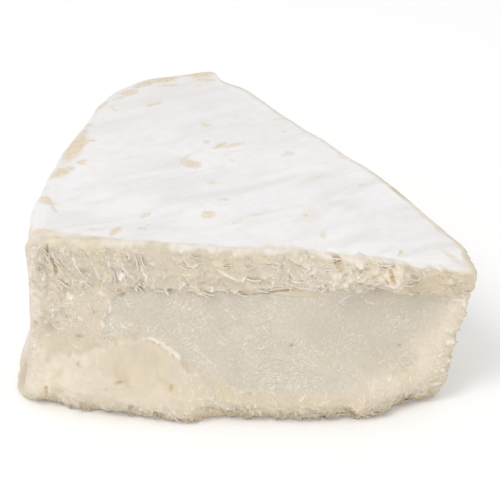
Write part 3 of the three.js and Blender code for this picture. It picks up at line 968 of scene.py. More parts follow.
levels, insets = [np.zeros_like(low_edge)], [low_edge]
for k in range(1, EDGE_RINGS):
    turn = math.pi / 2 * k / EDGE_RINGS
    levels.append(low_edge * (1 - math.cos(turn)))
    insets.append(low_edge * (1 - math.sin(turn)))
for k in range(WALL_RINGS + 1):
    share = np.interp(k / WALL_RINGS, RING_SHARE, HEIGHT_SHARE)
    levels.append(mix(low_edge, column_top - top_edge, share))
    insets.append(np.zeros_like(low_edge))
for k in range(1, EDGE_RINGS + 1):
    turn = math.pi / 2 * k / EDGE_RINGS
    levels.append(column_top - top_edge * (1 - math.sin(turn)))
    insets.append(top_edge * (1 - math.cos(turn)))
high = np.array(levels)
inset = np.array(insets)
depth = column_top - high

# %% Move the rings out by the relief
front_out, front_drop, front_made = front_relief(along_front, high, depth)
back_out, back_core = back_relief(along_back, high, depth)
relief = (
    share_front * front_out
    + share_tip * tip_relief(along_tip, high)
    + share_back * back_out
    + share_rind * rind_relief(along_rind, high)
)
x = plan[:, 0] + outward[:, 0] * relief + inward[:, 0] * inset
y = plan[:, 1] + outward[:, 1] * relief + inward[:, 1] * inset
lean = np.clip(1 - high / TIP_LEAN_HEIGHT, 0, 1) * ramp(tip_front[0] - TIP_LEAN_REACH, tip_front[0], x)
x = x - TIP_LEAN * lean
y = y + TIP_LEAN_SIDEWAYS * lean
z = np.maximum(high - share_front * front_drop, 0.02 * (high > 0))
print("wall rings", x.shape)

# %% [markdown]
# ### Border of the white bloom
# The bloom doesn't stop at a line: it reaches down over the edge of a cut in ragged tongues,
# and back from the edge a margin of cream paste shows through. Both widths change along the
# long cut, with one bare dent near the tip.

# %% What each point of the walls is made of
EDGE_PLACES = [0, 16, 24, 70, 76.4, 78.2, 80, 86, 94]  # mm along the long cut
EDGE_BLOOM = [0.30, 0.35, 0.60, 0.60, 0.58, 0.05, 0.5, 0.55, 0.95]  # how white its upper edge is
BLOOM_DEPTH = [2.5, 2.3, 1.4, 1.3, 1.3, 0.8, 1.2, 1.6, 1.8]  # mm that the bloom reaches down
CREAM_MARGIN = [3.4, 3.2, 1.6, 1.5, 1.5, 2.6, 1.8, 1.6, 0.4]  # mm of cream on the top beside it
OTHER_EDGE_BLOOM = 0.65
OTHER_CREAM_MARGIN = 0.8

ragged = 1.1 * rough(along_front / 5, high / 3) + 0.7 * rough(along_front / 1.5, high / 1.2)
edge_bloom = mix(OTHER_EDGE_BLOOM, np.interp(along_front, EDGE_PLACES, EDGE_BLOOM), share_front)
bloom_depth = mix(RIND_THICK, np.interp(along_front, EDGE_PLACES, BLOOM_DEPTH), share_front)
over_edge = edge_bloom * ramp(bloom_depth, -0.2, depth + 0.9 * ragged)
rind_skin = np.maximum(over_edge, ramp(1.0, 0.2, high))
# the bloom is also worn off the rind wall beside the long cut, and most near the floor
worn_reach = 12 + 10 * ramp(24, 14, high)
worn_corner = bell(rim_length - along_rind, 0, worn_reach) * ramp(42, 28, high)
rind = share_rind * (1 - 0.9 * worn_corner) + (1 - share_rind) * rind_skin

made = {name: share_front * values for name, values in front_made.items()}
made["core"] = made["core"] + share_back * back_core
foot_part = 0.7 * ramp(7, 4, high)
band_part = 0.6 * ramp(LEDGE_HEIGHT - 1, LEDGE_HEIGHT + 1, high) * ramp(1.5, 4, depth)
torn_elsewhere = np.maximum(band_part, foot_part) * (high > 0.4)
made["tear"] = made["tear"] + (share_back + share_tip) * torn_elsewhere

# %% Which points stand proud


def blurred(values, reach):
    """Average over the neighbours, round the wedge and up and down."""
    total = np.zeros_like(values)
    for k in range(-reach, reach + 1):
        total += np.roll(values, k, axis=1)
    total /= 2 * reach + 1
    padded = np.pad(total, ((reach, reach), (0, 0)), mode="edge")
    return sum(padded[k : k + len(values)] for k in range(2 * reach + 1)) / (2 * reach + 1)


# lift is how far a point stands proud of its neighbours, or sinks below them; the material paints shade into
# the hollows and a highlight onto what stands proud
fine_lift = np.clip((relief - blurred(relief, 3)) / 0.4, -1, 1)
broad_lift = np.clip((relief - blurred(relief, 9)) / 1.0, -1, 1)
lift = fine_lift + 0.5 * broad_lift
print("relief from", relief.min().round(2), "to", relief.max().round(2), "mm")
print("lift from", lift.min().round(2), "to", lift.max().round(2))

# %% Underside and top rings
CALM_COLUMNS = 14  # the tears of the edge fade out over this many columns

rings = []
for k in range(1, BASE_RINGS + 1):
    share = k / (BASE_RINGS + 1)
    rings.append((mix(heart[0], x[0], share), mix(heart[1], y[0], share), 0 * x[0]))
rings += list(zip(x, y, z))
upper = rings[-1]
round_trip = np.arange(-CALM_COLUMNS, CALM_COLUMNS + 1)
calm_weight = bell(round_trip, 0, CALM_COLUMNS / 2)
calm_weight = calm_weight / calm_weight.sum()
calm_x, calm_y = (sum(w * np.roll(edge, r) for r, w in zip(round_trip, calm_weight)) for edge in upper[:2])
top_reach = np.hypot(upper[0] - heart[0], upper[1] - heart[1])
from_edge = []
for k in range(1, TOP_RINGS + 1):
    share = (k / (TOP_RINGS + 1)) ** TOP_CROWDING
    calm = ramp(0.0, 0.06, share)
    ring_x = mix(mix(upper[0], calm_x, calm), heart[0], share)
    ring_y = mix(mix(upper[1], calm_y, calm), heart[1], share)
    even_z = top_height(ring_x, ring_y) + top_streaks(ring_x, ring_y)
    rings.append((ring_x, ring_y, mix(upper[2], even_z, ramp(0, 0.05, share))))
    from_edge.append(share * top_reach)
skin = np.array([np.stack(ring, -1) for ring in rings])
print("skin rings and columns", skin.shape[:2])

# %% Marks of the whole skin
columns = skin.shape[1]
below_rings = np.zeros((BASE_RINGS, columns))
above_rings = np.zeros((TOP_RINGS, columns))
in_from_edge = np.array(from_edge)
edge_ragged = 1.3 * rough(skin[-TOP_RINGS:, :, 0] / 5, skin[-TOP_RINGS:, :, 1] / 3)
margin = mix(OTHER_CREAM_MARGIN, np.interp(along_front, EDGE_PLACES, CREAM_MARGIN), share_front)
top_rind = 1 - (1 - edge_bloom) * (1 - share_rind) * ramp(margin, -0.4, in_from_edge + edge_ragged)


def whole(values, under, over):
    """A value for every ring: under for the underside, over for the top."""
    return np.concatenate([below_rings + under, values, above_rings + over])


marks = {
    "rind": whole(rind, 1.0, top_rind),
    **{name: whole(values, 0.0, 0.0) for name, values in made.items()},
    "lift": whole(lift, 0.0, 0.0),
}
print("marks", list(marks))

# %% Closed mesh
ring_count = len(skin)
poles = [[*heart, 0.0], [*heart, float(top_height(*heart))]]
vertices = np.concatenate([skin.reshape(-1, 3), poles])
vertices[:, :2] -= PLAN_MIDDLE
ring_start = np.arange(ring_count - 1)[:, None] * columns
column = np.arange(columns)
next_column = (column + 1) % columns
a = (ring_start + column).ravel()
b = (ring_start + next_column).ravel()
quads = np.stack([a, b, b + columns, a + columns], -1)
low_pole = ring_count * columns
last = (ring_count - 1) * columns
low_fan = np.stack([np.full(columns, low_pole), next_column, column], -1)
top_fan = np.stack([np.full(columns, low_pole + 1), last + column, last + next_column], -1)

mesh = bpy.data.meshes.new("cheese_body")
mesh.from_pydata((vertices * MM).tolist(), [], quads.tolist() + low_fan.tolist() + top_fan.tolist())
mesh.polygons.foreach_set("use_smooth", [True] * len(mesh.polygons))
body = bpy.data.objects.new("cheese_body", mesh)
bpy.context.scene.collection.objects.link(body)
print("triangles", 2 * len(quads) + 2 * columns)
print("skin from", vertices.min(0).round(2), "to", vertices.max(0).round(2))

# %% [markdown]
# ### Which way the knife went
# Each point also keeps two directions: `way`, in which the knife dragged the paste, and
# `calm_out`, which way is out when the tears are smoothed over. Flakes that are laid later
# point along the first and lie flat on the second, so they don't stick up on every bump.

# %% Put marks and directions on the points
for name, values in marks.items():
    filled = np.concatenate([values.ravel(), [values[0, 0], values[-1, 0]]]).astype(np.float32)
    mesh.attributes.new(name, "FLOAT", "POINT").data.foreach_set("value", filled)


def put_direction(name, on_walls):
    """Keep a direction on the points of the walls, and none elsewhere."""
    filled = np.zeros((len(vertices), 3), np.float32)
    grid = filled[:low_pole].reshape(ring_count, columns, 3)
    grid[BASE_RINGS : BASE_RINGS + len(high)] = on_walls
    mesh.attributes.new(name, "FLOAT_VECTOR", "POINT").data.foreach_set("vector", filled.ravel())


# degrees below the horizontal: under the rind, at the rind end, and how much more at the foot
WAY_FLAT = 28
WAY_STEEP = 62
WAY_FOOT = 18

steep = made["steep"] + share_tip + 0.3 * share_back
way_turn = np.radians(mix(WAY_FLAT, WAY_STEEP, steep) + WAY_FOOT * ramp(8, 4, high))
level_way = np.cos(way_turn)
put_direction("way", np.stack([-outward[:, 1] * level_way, outward[:, 0] * level_way, -np.sin(way_turn)], -1))

calm_skin = np.stack([blurred(axis, 7) for axis in (x, y, z)], -1)
across = np.roll(calm_skin, -1, axis=1) - np.roll(calm_skin, 1, axis=1)
upward = np.gradient(calm_skin, axis=0)
calm_out = np.cross(across, upward)
calm_out /= np.maximum(np.linalg.norm(calm_out, axis=2, keepdims=True), 1e-9)
put_direction("calm_out", calm_out)
mesh.update()

# %% [markdown]
# ## Material of the cheese
# One material covers the whole wedge, because rind and paste grow into each other. The marks
# on the points say where the rind, the core and the deep places are. Noise and streaks add
# the finer colour, and light goes a little way into the cheese.
# The tree has nearly four hundred nodes, so a few short helpers write it.

# %% Helpers for writing nodes


def paint(red, green, blue):
    """A colour given as it looks on a screen, from 0 to 255."""
    return (*[((c / 255 + 0.055) / 1.055) ** 2.4 for c in (red, green, blue)], 1.0)


class Nodes:
    """Short ways to add nodes to one node tree. A value is a number, a colour or a socket."""

    def __init__(self, tree):
        self.tree = tree

    def add(self, kind, inputs=(), **settings):
        node = self.tree.nodes.new(kind)
        for name, value in settings.items():
            setattr(node, name, value)
        for name, value in dict(inputs).items():
            self.put(value, node.inputs[name])
        return node

    def put(self, value, socket):
        if isinstance(value, bpy.types.NodeSocket):
            self.tree.links.new(value, socket)
        else:
            socket.default_value = value

    def math(self, operation, a, b=0.0):
        return self.add("ShaderNodeMath", {0: a, 1: b}, operation=operation).outputs[0]

    def vector_math(self, operation, inputs, output="Vector"):
        return self.add("ShaderNodeVectorMath", inputs, operation=operation).outputs[output]

    def step(self, value, low, high, to_low=0.0, to_high=1.0):
        """Smooth step of a value from low to high."""
        inputs = {"Value": value, "From Min": low, "From Max": high, "To Min": to_low, "To Max": to_high}
        made = self.add("ShaderNodeMapRange", inputs, interpolation_type="SMOOTHSTEP", clamp=False)
        return made.outputs["Result"]

    def mix(self, share, a, b):
        node = self.add("ShaderNodeMix", {0: share, 6: a, 7: b}, data_type="RGBA")
        return node.outputs[2]

    def mark(self, name):
        return self.add("ShaderNodeAttribute", attribute_name=name).outputs["Fac"]

    def turned(self, vector, place=(0, 0, 0), turn=(0, 0, 0), size=(1, 1, 1)):
        """The vector measured from a place, in turned axes, in units of size."""
        inputs = {"Vector": vector, "Location": place, "Rotation": turn, "Scale": size}
        return self.add("ShaderNodeMapping", inputs, vector_type="TEXTURE").outputs[0]

    def noise(self, vector, scale, detail=2.0, roughness=0.5, distortion=0.0, output=0):
        inputs = {"Vector": vector, "Scale": scale, "Detail": detail, "Roughness": roughness}
        made = self.add("ShaderNodeTexNoise", {**inputs, "Distortion": distortion})
        return made.outputs[output]

    def shaken(self, vector, scale, detail, roughness, reach):
        """The vector moved about at random, by half of the reach at most, for ragged borders."""
        shake = self.noise(vector, scale, detail, roughness, output="Color")
        centred = self.vector_math("SUBTRACT", {0: shake, 1: (0.5, 0.5, 0.5)})
        moved = self.vector_math("SCALE", {0: centred, "Scale": reach})
        return self.vector_math("ADD", {0: vector, 1: moved})

    def tinted(self, colour, *layers):
        """Lay colours over a colour. Each follows a value, from where it starts to where it ends."""
        for value, low, high, most, shade in layers:
            colour = self.mix(self.step(value, low, high, 0.0, most), colour, paint(*shade))
        return colour


# %% [markdown]
# ### Rubbed patches
# Where the bloom has been rubbed off, the rind shows tan. Each patch is an oval with its
# place, half length, half width and direction, and shared noise makes the borders ragged.

# %% Places of the patches
# x, y, half length, half width, direction in degrees, strength
PATCHES = [
    (-49.5, -39.0, 5.8, 1.8, -6, 0.72),
    (-37.0, -40.6, 7.0, 1.2, -3, 0.60),
    (-53.5, -36.0, 1.8, 3.8, 0, 0.60),
    (-23.7, 28.2, 2.3, 0.7, 35, 0.70),
    (-9.6, 18.1, 1.4, 0.9, 23, 0.55),
    (-9.4, 9.7, 0.9, 1.0, 5, 0.60),
    (-5.9, 7.9, 2.2, 0.9, 48, 0.80),
    (-2.4, 8.4, 3.2, 0.9, 29, 0.55),
    (-13.0, -1.4, 2.5, 1.6, -14, 0.75),
    (-14.9, 0.9, 2.3, 0.6, 61, 0.60),
    (-2.6, 0.8, 0.8, 0.6, 31, 0.50),
    (39.2, -39.6, 1.5, 0.4, 62, 0.90),
    (-7.9, -9.6, 1.3, 0.9, 6, 0.50),
    (-4.6, -18.3, 1.3, 0.8, 20, 0.50),
    (-8.4, -25.7, 1.8, 1.6, 12, 0.70),
    (-24.0, -28.2, 2.1, 0.6, 40, 0.60),
    (-22.9, -32.1, 0.5, 0.4, 6, 0.80),
    (-24.5, -34.2, 1.2, 0.8, 6, 0.50),
    (-31.1, -36.7, 2.5, 1.0, 60, 0.80),
    (-36.4, -36.9, 1.4, 0.4, 12, 0.45),
    (-41.1, -4.0, 1.3, 1.1, 6, 0.80),
    (-1.0, -29.8, 1.8, 0.6, 39, 0.40),
    (-16.6, 9.4, 0.2, 0.4, 5, 0.90),
    (-43.4, 3.6, 7.4, 2.4, 77, 0.90),
    (-39.9, 6.4, 2.1, 0.7, 14, 0.70),
    (-40.8, 16.5, 1.3, 0.7, -6, 0.80),
    (-41.8, 11.2, 2.5, 1.2, 78, 0.70),
    (-37.6, 27.7, 2.1, 1.0, 51, 0.80),
    (-34.6, 25.4, 2.2, 0.4, -59, 0.50),
    (-46.6, -9.4, 2.8, 2.1, 44, 0.85),
    (-44.0, -7.4, 1.4, 0.9, 28, 0.70),
    (-49.6, -16.0, 0.9, 0.7, 63, 0.60),
    (-48.9, -24.0, 2.8, 1.4, -58, 0.80),
    (-46.5, -27.7, 1.1, 0.4, -58, 0.70),
    (-30.6, 34.2, 2.6, 1.5, 42, 0.75),
    (-33.0, 31.2, 2.6, 0.7, 42, 0.50),
    (-26.8, 39.5, 3.4, 1.3, 40, 0.85),
    (-21.2, 42.9, 3.8, 2.0, 22, 0.90),
    (-20.0, 39.2, 2.5, 0.7, 7, 0.60),
    (-12.6, 45.6, 4.2, 2.0, -2, 0.90),
    (-9.9, 42.4, 3.0, 0.8, 0, 0.60),
    (9.5, 22.7, 1.5, 0.6, 18, 0.50),
    (11.0, 16.4, 1.0, 0.6, 13, 0.40),
    (12.0, 4.6, 2.0, 0.7, 25, 0.50),
    (19.1, -6.2, 1.7, 0.5, 30, 0.40),
    (16.0, -25.0, 0.8, 0.8, -4, 0.60),
    (20.4, -33.4, 0.8, 1.4, 6, 0.50),
    (4.1, -25.5, 2.1, 0.7, 20, 0.40),
    (30.8, -8.8, 1.6, 0.7, 28, 0.40),
    (51.7, -39.8, 4.2, 1.1, -52, 0.50),
    (55.2, -42.3, 2.1, 1.5, -68, 0.40),
]
PATCH_LEVEL = 46.0  # mm above the floor
PATCH_TALL = 9.0

# %% How rubbed the rind is


def patch_share(n, place):
    """The strongest of the patches at each place."""
    ragged = n.shaken(place, 620, 3, 0.6, reach=2.4 * MM)
    total = 0.0
    for px, py, long, wide, angle, strength in PATCHES:
        middle = (px * MM, py * MM, PATCH_LEVEL * MM)
        size = (long * MM, wide * MM, PATCH_TALL * MM)
        local = n.turned(ragged, middle, (0, 0, math.radians(angle)), size)
        far = n.vector_math("LENGTH", {0: local}, output="Value")
        total = n.math("MAXIMUM", total, n.step(far, 1.45, 0.65, 0.0, 0.85 * strength))
    return total


# %% [markdown]
# ### Rind, paste and core
# The bloom is white with faint grey streaks. The paste under it is cream, the core is paler
# and slightly greyer, thin lips catch the light and look whiter, and pits look ochre,
# because light that gets into them comes out warmer. Each colour is a base with thin layers
# over it, and each layer follows one noise or one mark.

# %% Noises that the colours share


def textures(n, place):
    """Noises from broad to fine, and streaks that follow the rind's sweep or the knife."""
    sweep = n.turned(place, turn=(0, 0, SWEEP), size=(7, 1.6, 4))
    broad_sweep = n.turned(place, turn=(0, 0, SWEEP), size=(4, 1.2, 3))
    knife = n.turned(place, turn=(0, math.radians(-38), 0), size=(2.3, 1, 1))
    return {
        "broad": n.noise(place, 55, 2),
        "patchy": n.noise(place, 110, 2),
        "warm": n.noise(place, 190, 3, 0.6),
        "blotch": n.noise(place, 260, 3, 0.55),
        "speckle": n.noise(place, 900, 3, 0.6),
        "fine": n.noise(place, 2300, 2, 0.65),
        "streak": n.noise(sweep, 420, 4, 0.6, 0.6),
        "broad streak": n.noise(broad_sweep, 130, 3, 0.5, 0.8),
        "dragged": n.noise(knife, 2400, 2, 0.6, 1.0),
    }


# %% Colour of the rind


def bloom_colour(n, place, t):
    """White bloom with painted shade that greys it a little away from the light, and the tan patches."""
    # painted shade: the bloom is greyed towards the back, away from the lamps in front
    away = n.add("ShaderNodeSeparateXYZ", {0: place}).outputs[1]
    bloom = n.tinted(
        paint(236, 234, 234),
        (t["streak"], 0.45, 0.75, 0.7, (227, 224, 223)),
        (t["broad streak"], 0.42, 0.72, 0.75, (223, 220, 218)),
        (t["blotch"], 0.5, 0.75, 0.55, (230, 223, 214)),
        (away, 0.0, 50 * MM, 0.45, (222, 219, 217)),
    )
    tan = n.tinted(paint(224, 208, 180), (t["speckle"], 0.35, 0.65, 1.0, (211, 191, 156)))
    return n.mix(patch_share(n, place), bloom, tan)


# %% Colour of the core
# degrees below the horizontal, scale, and how rare the hairlines are
HAIRLINES = [(44, 700, 0.60), (-24, 520, 0.62)]


def thin_lines(n, place, angle, scale, rare):
    """Sparse hairlines on a cut that faces the front."""
    way = n.turned(place, turn=(0, math.radians(angle), 0), size=(9, 1, 1))
    wave = n.noise(way, scale, 1, 0.4, 0.3)
    line = n.step(n.math("ABSOLUTE", n.math("SUBTRACT", wave, 0.5)), 0.022, 0.004)
    where = n.step(n.noise(place, 75, 2, 0.6), rare - 0.12, rare)
    return n.math("MULTIPLY", line, where)


def core_colour(n, t, scratched):
    """Chalky paste that the knife has dragged into strokes, which the bump also raises; the raised strokes
    get a painted highlight and the low ones between get painted shade.
    """
    patchy = n.step(t["patchy"], 0.42, 0.6, 0.3, 0.95)
    # painted highlight on the strokes that the bump raises, and painted shade on the low ones
    pale = n.math("MULTIPLY", n.step(t["dragged"], 0.53, 0.66), patchy)
    dark = n.math("MULTIPLY", n.step(t["dragged"], 0.45, 0.30), patchy)
    chalk = n.tinted(paint(202, 193, 178), (t["broad"], 0.38, 0.65, 1.0, (206, 198, 183)))
    chalk = n.mix(pale, chalk, paint(227, 220, 208))
    chalk = n.mix(dark, chalk, paint(198, 187, 166))
    chalk = n.tinted(
        chalk,
        (t["fine"], 0.54, 0.72, 0.55, (223, 217, 206)),
        (t["fine"], 0.46, 0.30, 0.4, (196, 186, 167)),
    )
    # painted highlight on the hairlines that the bump raises
    return n.mix(n.math("MULTIPLY", scratched, 0.75), chalk, paint(226, 220, 208))


# %% Colour of the paste


def paste_colour(n, t, core, scratched):
    """Cream paste with the core in it, then fresh and dry places, lips and pits over both."""
    cream = n.tinted(
        paint(203, 191, 170),
        (t["broad"], 0.4, 0.62, 1.0, (208, 197, 177)),
        (t["blotch"], 0.4, 0.7, 0.5, (202, 190, 171)),
        (t["warm"], 0.48, 0.62, 0.7, (214, 200, 173)),
    )
    fresh = n.tinted(paint(227, 215, 196), (t["blotch"], 0.4, 0.7, 1.0, (220, 207, 186)))
    dry = n.tinted(paint(229, 220, 208), (t["speckle"], 0.4, 0.65, 1.0, (210, 198, 180)))
    lift = n.mark("lift")
    # lip and tip say how much painted highlight the lips, tongues and draped lips get
    lip = n.math("MAXIMUM", n.mark("lip"), n.mark("tip"))
    paste = n.mix(core, cream, core_colour(n, t, scratched))
    paste = n.mix(n.mark("soft"), paste, fresh)
    paste = n.tinted(paste, (t["speckle"], 0.55, 0.8, 0.3, (196, 182, 158)))
    paste = n.mix(n.mark("crust"), paste, dry)
    # painted shade in the hollows and painted highlights on what stands proud and on the lips
    paste = n.tinted(
        paste,
        (lift, -0.1, -1.2, 0.28, (198, 180, 150)),
        (lift, 0.2, 1.2, 0.35, (228, 220, 206)),
        (lip, 0.15, 0.8, 0.85, (236, 229, 217)),
    )
    # painted shade, yellow-brown, as light that gets into hollows comes out warmer
    return n.mix(n.mark("painted_shade"), paste, paint(190, 164, 120))


# %% [markdown]
# ### Tears too fine for the mesh
# The finest lips are thinner than the distance between two points of the skin. A cell texture
# gives them: it splits the surface into flakes, and where one flake's random level is higher
# than its neighbour's, their border is a lip, which gets a painted highlight. The same levels
# also tilt the light a little.

# %% Fine flakes
# width, height, degrees below the horizontal, and a shift that makes each kind its own
FINE_FLAT = (3.6, 1.8, 28, 0)
FINE_STEEP = (4.4, 1.6, 58, 3)
FINEST = (1.7, 0.9, 40, 7)


def pulled_flakes(n, place, wide, tall, turn, seed):
    """Thin lips and uneven levels of fine flakes, on a cut that faces the front or the back."""
    bent = n.shaken(place, 330, 3, 0.65, reach=3.4 * MM)
    size = (wide * MM, 4 * wide * MM, tall * MM)
    local = n.turned(bent, (seed * MM, 0, 0), (0, math.radians(turn), 0), size)
    first = n.add("ShaderNodeTexVoronoi", {"Vector": local, "Scale": 1.0}, feature="F1")
    second = n.add("ShaderNodeTexVoronoi", {"Vector": local, "Scale": 1.0}, feature="F2")
    own = n.add("ShaderNodeSeparateColor", {0: first.outputs["Color"]}).outputs[0]
    other = n.add("ShaderNodeSeparateColor", {0: second.outputs["Color"]}).outputs[0]
    gap = n.math("SUBTRACT", second.outputs["Distance"], first.outputs["Distance"])
    proud = n.step(n.math("SUBTRACT", own, other), -0.05, 0.3)
    lip = n.math("MULTIPLY", n.step(gap, 0.16, 0.03), proud)
    hollow = n.step(gap, 0.0, 0.6)
    level = n.math("SUBTRACT", own, n.math("MULTIPLY", hollow, 0.5))
    return lip, level


def fine_tears(n, place):
    """How much painted highlight the fine lips get at each place, and how high the flakes lie."""
    tear, steep = n.mark("tear"), n.mark("steep")
    flat_lip, flat_level = pulled_flakes(n, place, *FINE_FLAT)
    steep_lip, steep_level = pulled_flakes(n, place, *FINE_STEEP)
    small_lip, small_level = pulled_flakes(n, place, *FINEST)
    lip = n.add("ShaderNodeMix", {0: steep, 2: flat_lip, 3: steep_lip}).outputs[0]
    level = n.add("ShaderNodeMix", {0: steep, 2: flat_level, 3: steep_level}).outputs[0]
    broken = n.step(n.noise(place, 240, 2), 0.42, 0.56, 0.4, 1.0)
    lip = n.math("MULTIPLY", n.math("MULTIPLY", lip, broken), tear)
    small_lip = n.math("MULTIPLY", n.math("MULTIPLY", small_lip, tear), 0.6)
    layers = n.math("ADD", level, n.math("MULTIPLY", small_level, 0.25))
    layers = n.math("ADD", n.math("MULTIPLY", layers, tear), n.math("MULTIPLY", lip, 0.4))
    return n.math("MULTIPLY", n.math("MAXIMUM", lip, small_lip), 0.95), layers


# %% Cheese material
BUMP = {"Strength": 0.7, "Distance": 0.34 * MM}


def cheese_material():
    material = principled("cheese", colour=(0.8, 0.7, 0.55), roughness=0.62)
    n = Nodes(material.node_tree)
    shader = material.node_tree.nodes["Principled BSDF"]
    place = n.add("ShaderNodeTexCoord").outputs["Object"]
    t = textures(n, place)
    core = n.mark("core")
    scratched = n.math("MAXIMUM", *(thin_lines(n, place, *kind) for kind in HAIRLINES))
    painted_highlight, layers = fine_tears(n, place)
    # painted highlight on the fine lips
    paste = n.mix(painted_highlight, paste_colour(n, t, core, scratched), paint(242, 236, 227))

    ragged = n.math("MULTIPLY", n.math("SUBTRACT", n.noise(place, 420, 3), 0.5), 0.7)
    border = n.math("ADD", n.mark("rind"), ragged)
    colour = n.tinted(paste, (border, 0.1, 0.6, 1.0, (222, 213, 198)))
    colour = n.mix(n.step(border, 0.4, 1.0), colour, bloom_colour(n, place, t))
    n.put(colour, shader.inputs["Base Color"])

    strokes = n.math("ADD", t["dragged"], scratched)
    strokes = n.math("MULTIPLY", strokes, n.step(core, 0, 1, 0.05, 0.56))
    height = n.math("ADD", n.math("MULTIPLY", t["fine"], 0.25), n.math("ADD", strokes, layers))
    n.put(n.add("ShaderNodeBump", {**BUMP, "Height": height}).outputs[0], shader.inputs["Normal"])

    shader.inputs["Specular IOR Level"].default_value = 0.3
    shader.inputs["Subsurface Weight"].default_value = 0.15
    shader.inputs["Subsurface Radius"].default_value = (1.0, 0.72, 0.42)
    shader.inputs["Subsurface Scale"].default_value = 1.2 * MM
    return material


cheese = cheese_material()
mesh.materials.append(cheese)
print("cheese nodes", len(cheese.node_tree.nodes))

# %% [markdown]
# ## Torn flakes and draped lips
# Where the knife pulled at the ripened paste it left hundreds of thin flakes. Two sorts stand
# free of the skin. Short tongues are fast at one end only, and fringe the ledge, the foot and
# the torn tip. Draped lips are long thin blades, fast along their upper edge and free below,
# and lie over the torn band like small folds.
# Each sort has three small closed shapes. Geometry Nodes lay them on the skin where the mark
# `fringe` or `drape` is high, point them along `way`, and give each its own size and swing.
# The marks of the skin pass on to them, so that each has the colour of the paste under it.

# %% Three tongues
TONGUE_STATIONS = 7


def prototype(name, points, painted_lightness, faces):
    """A small object to be repeated; points are in mm, and each point has a share of painted highlight, which
    lightens a thin edge or a side that lies in shade.
    """
    made_mesh = bpy.data.meshes.new(name)
    made_mesh.from_pydata([[c * MM for c in point] for point in points], [], faces)
    # the share of painted highlight of each point
    made_mesh.attributes.new("tip", "FLOAT", "POINT").data.foreach_set("value", painted_lightness)
    made_mesh.polygons.foreach_set("use_smooth", [True] * len(faces))
    made_object = bpy.data.objects.new(name, made_mesh)
    bpy.context.scene.collection.objects.link(made_object)
    return made_object


def tongue(name, wide, lift, curl):
    """A closed tongue one mm long along +X: a low ramp out of the skin that ends in a thin tip."""
    points, painted_lightness, faces = [], [], []
    for k in range(TONGUE_STATIONS):
        t = k / (TONGUE_STATIONS - 1)
        half_width = wide * math.sin(math.pi * (0.16 + 0.82 * t)) ** 0.8 + 0.01
        top = -0.04 + lift * t**1.3
        side = curl * t * t
        points += [
            (t, side - half_width, 0.5 * top - 0.01),
            (t, side, top),
            (t, side + half_width, 0.5 * top - 0.01),
            (t - 0.08, side + 0.6 * half_width, -0.2),
            (t - 0.08, side - 0.6 * half_width, -0.2),
        ]
        # painted highlight that grows towards the free tip
        painted_lightness += [0.8 * t**3, 0.5 * t**6, 0.8 * t**3, 0.0, 0.0]
    for k in range(TONGUE_STATIONS - 1):
        for j in range(5):
            a, b = 5 * k + j, 5 * k + (j + 1) % 5
            faces.append((a, a + 5, b + 5, b))
    last = 5 * (TONGUE_STATIONS - 1)
    faces += [(0, 1, 2, 3, 4), (last + 4, last + 3, last + 2, last + 1, last)]
    return prototype(name, points, painted_lightness, faces)


TONGUES = [
    tongue("tongue_a", wide=0.16, lift=0.18, curl=0.0),
    tongue("tongue_b", wide=0.11, lift=0.25, curl=0.2),
    tongue("tongue_c", wide=0.22, lift=0.12, curl=-0.15),
]
print("tongues of", [len(kind.data.polygons) for kind in TONGUES], "faces")

# %% Three draped lips
LIP_STATIONS = 11
HOOK_FROM = 0.82  # share of the length where the end starts to hook up


def draped_lip(name, bow, hook, proud):
    """A closed blade one mm long along +X, flush above and free below, with its end hooked up."""
    points, painted_lightness, faces = [], [], []
    for k in range(LIP_STATIONS):
        t = k / (LIP_STATIONS - 1)
        side = bow * 4 * t * (1 - t) + hook * max(0.0, t - HOOK_FROM) / (1 - HOOK_FROM)
        swell = 0.15 + 0.85 * math.sin(math.pi * min(1.0, 0.05 + 0.62 * t))
        rise = proud * swell * min(1.0, (1 - t) * 6 + 0.2)
        points += [
            (t, side + 0.085, -0.03),
            (t, side - 0.006, rise),
            (t, side - 0.020, rise - 0.022),
            (t, side - 0.006, -0.12),
        ]
        # painted highlight, most on the free edge; the lower side lies in shade and is lightened too
        painted_lightness += [0.1, 1.0, 0.9, 0.6]
    for k in range(LIP_STATIONS - 1):
        for j in range(4):
            a, b = 4 * k + j, 4 * k + (j + 1) % 4
            faces.append((a, b, b + 4, a + 4))
    last = 4 * (LIP_STATIONS - 1)
    faces += [(3, 2, 1, 0), (last, last + 1, last + 2, last + 3)]
    return prototype(name, points, painted_lightness, faces)


LIPS = [
    draped_lip("lip_a", bow=-0.07, hook=0.14, proud=0.020),
    draped_lip("lip_b", bow=0.06, hook=0.10, proud=0.017),
    draped_lip("lip_c", bow=-0.11, hook=0.05, proud=0.023),
]
print("lips of", [len(kind.data.polygons) for kind in LIPS], "faces")

# %% [markdown]
# ### The nodes that lay them
# One node group serves both sorts. It scatters points where the mark is high, stands a frame
# of axes on each, puts one of the three kinds there, and makes the copies real at the end,
# because an exported model keeps no instances.

# %% Inputs of the laying nodes
LAYING_INPUTS = {
    "Skin": "Geometry",
    "Tongue A": "Object",
    "Tongue B": "Object",
    "Tongue C": "Object",
    "Per square metre": "Float",
    "Least size": "Float",
    "Largest size": "Float",
    "Swing": "Float",
    "Seed": "Int",
    "Mark": "String",
    "Material": "Material",
}


def laying_group():
    """A new group with its named inputs and its output."""
    group = bpy.data.node_groups.new("lay_tongues", "GeometryNodeTree")
    for title, kind in LAYING_INPUTS.items():
        group.interface.new_socket(title, in_out="INPUT", socket_type="NodeSocket" + kind)
    group.interface.new_socket("Flakes", in_out="OUTPUT", socket_type="NodeSocketGeometry")
    return group


# %% How each one lies


def attribute(n, name, kind="FLOAT_VECTOR"):
    return n.add("GeometryNodeInputNamedAttribute", {"Name": name}, data_type=kind).outputs[0]


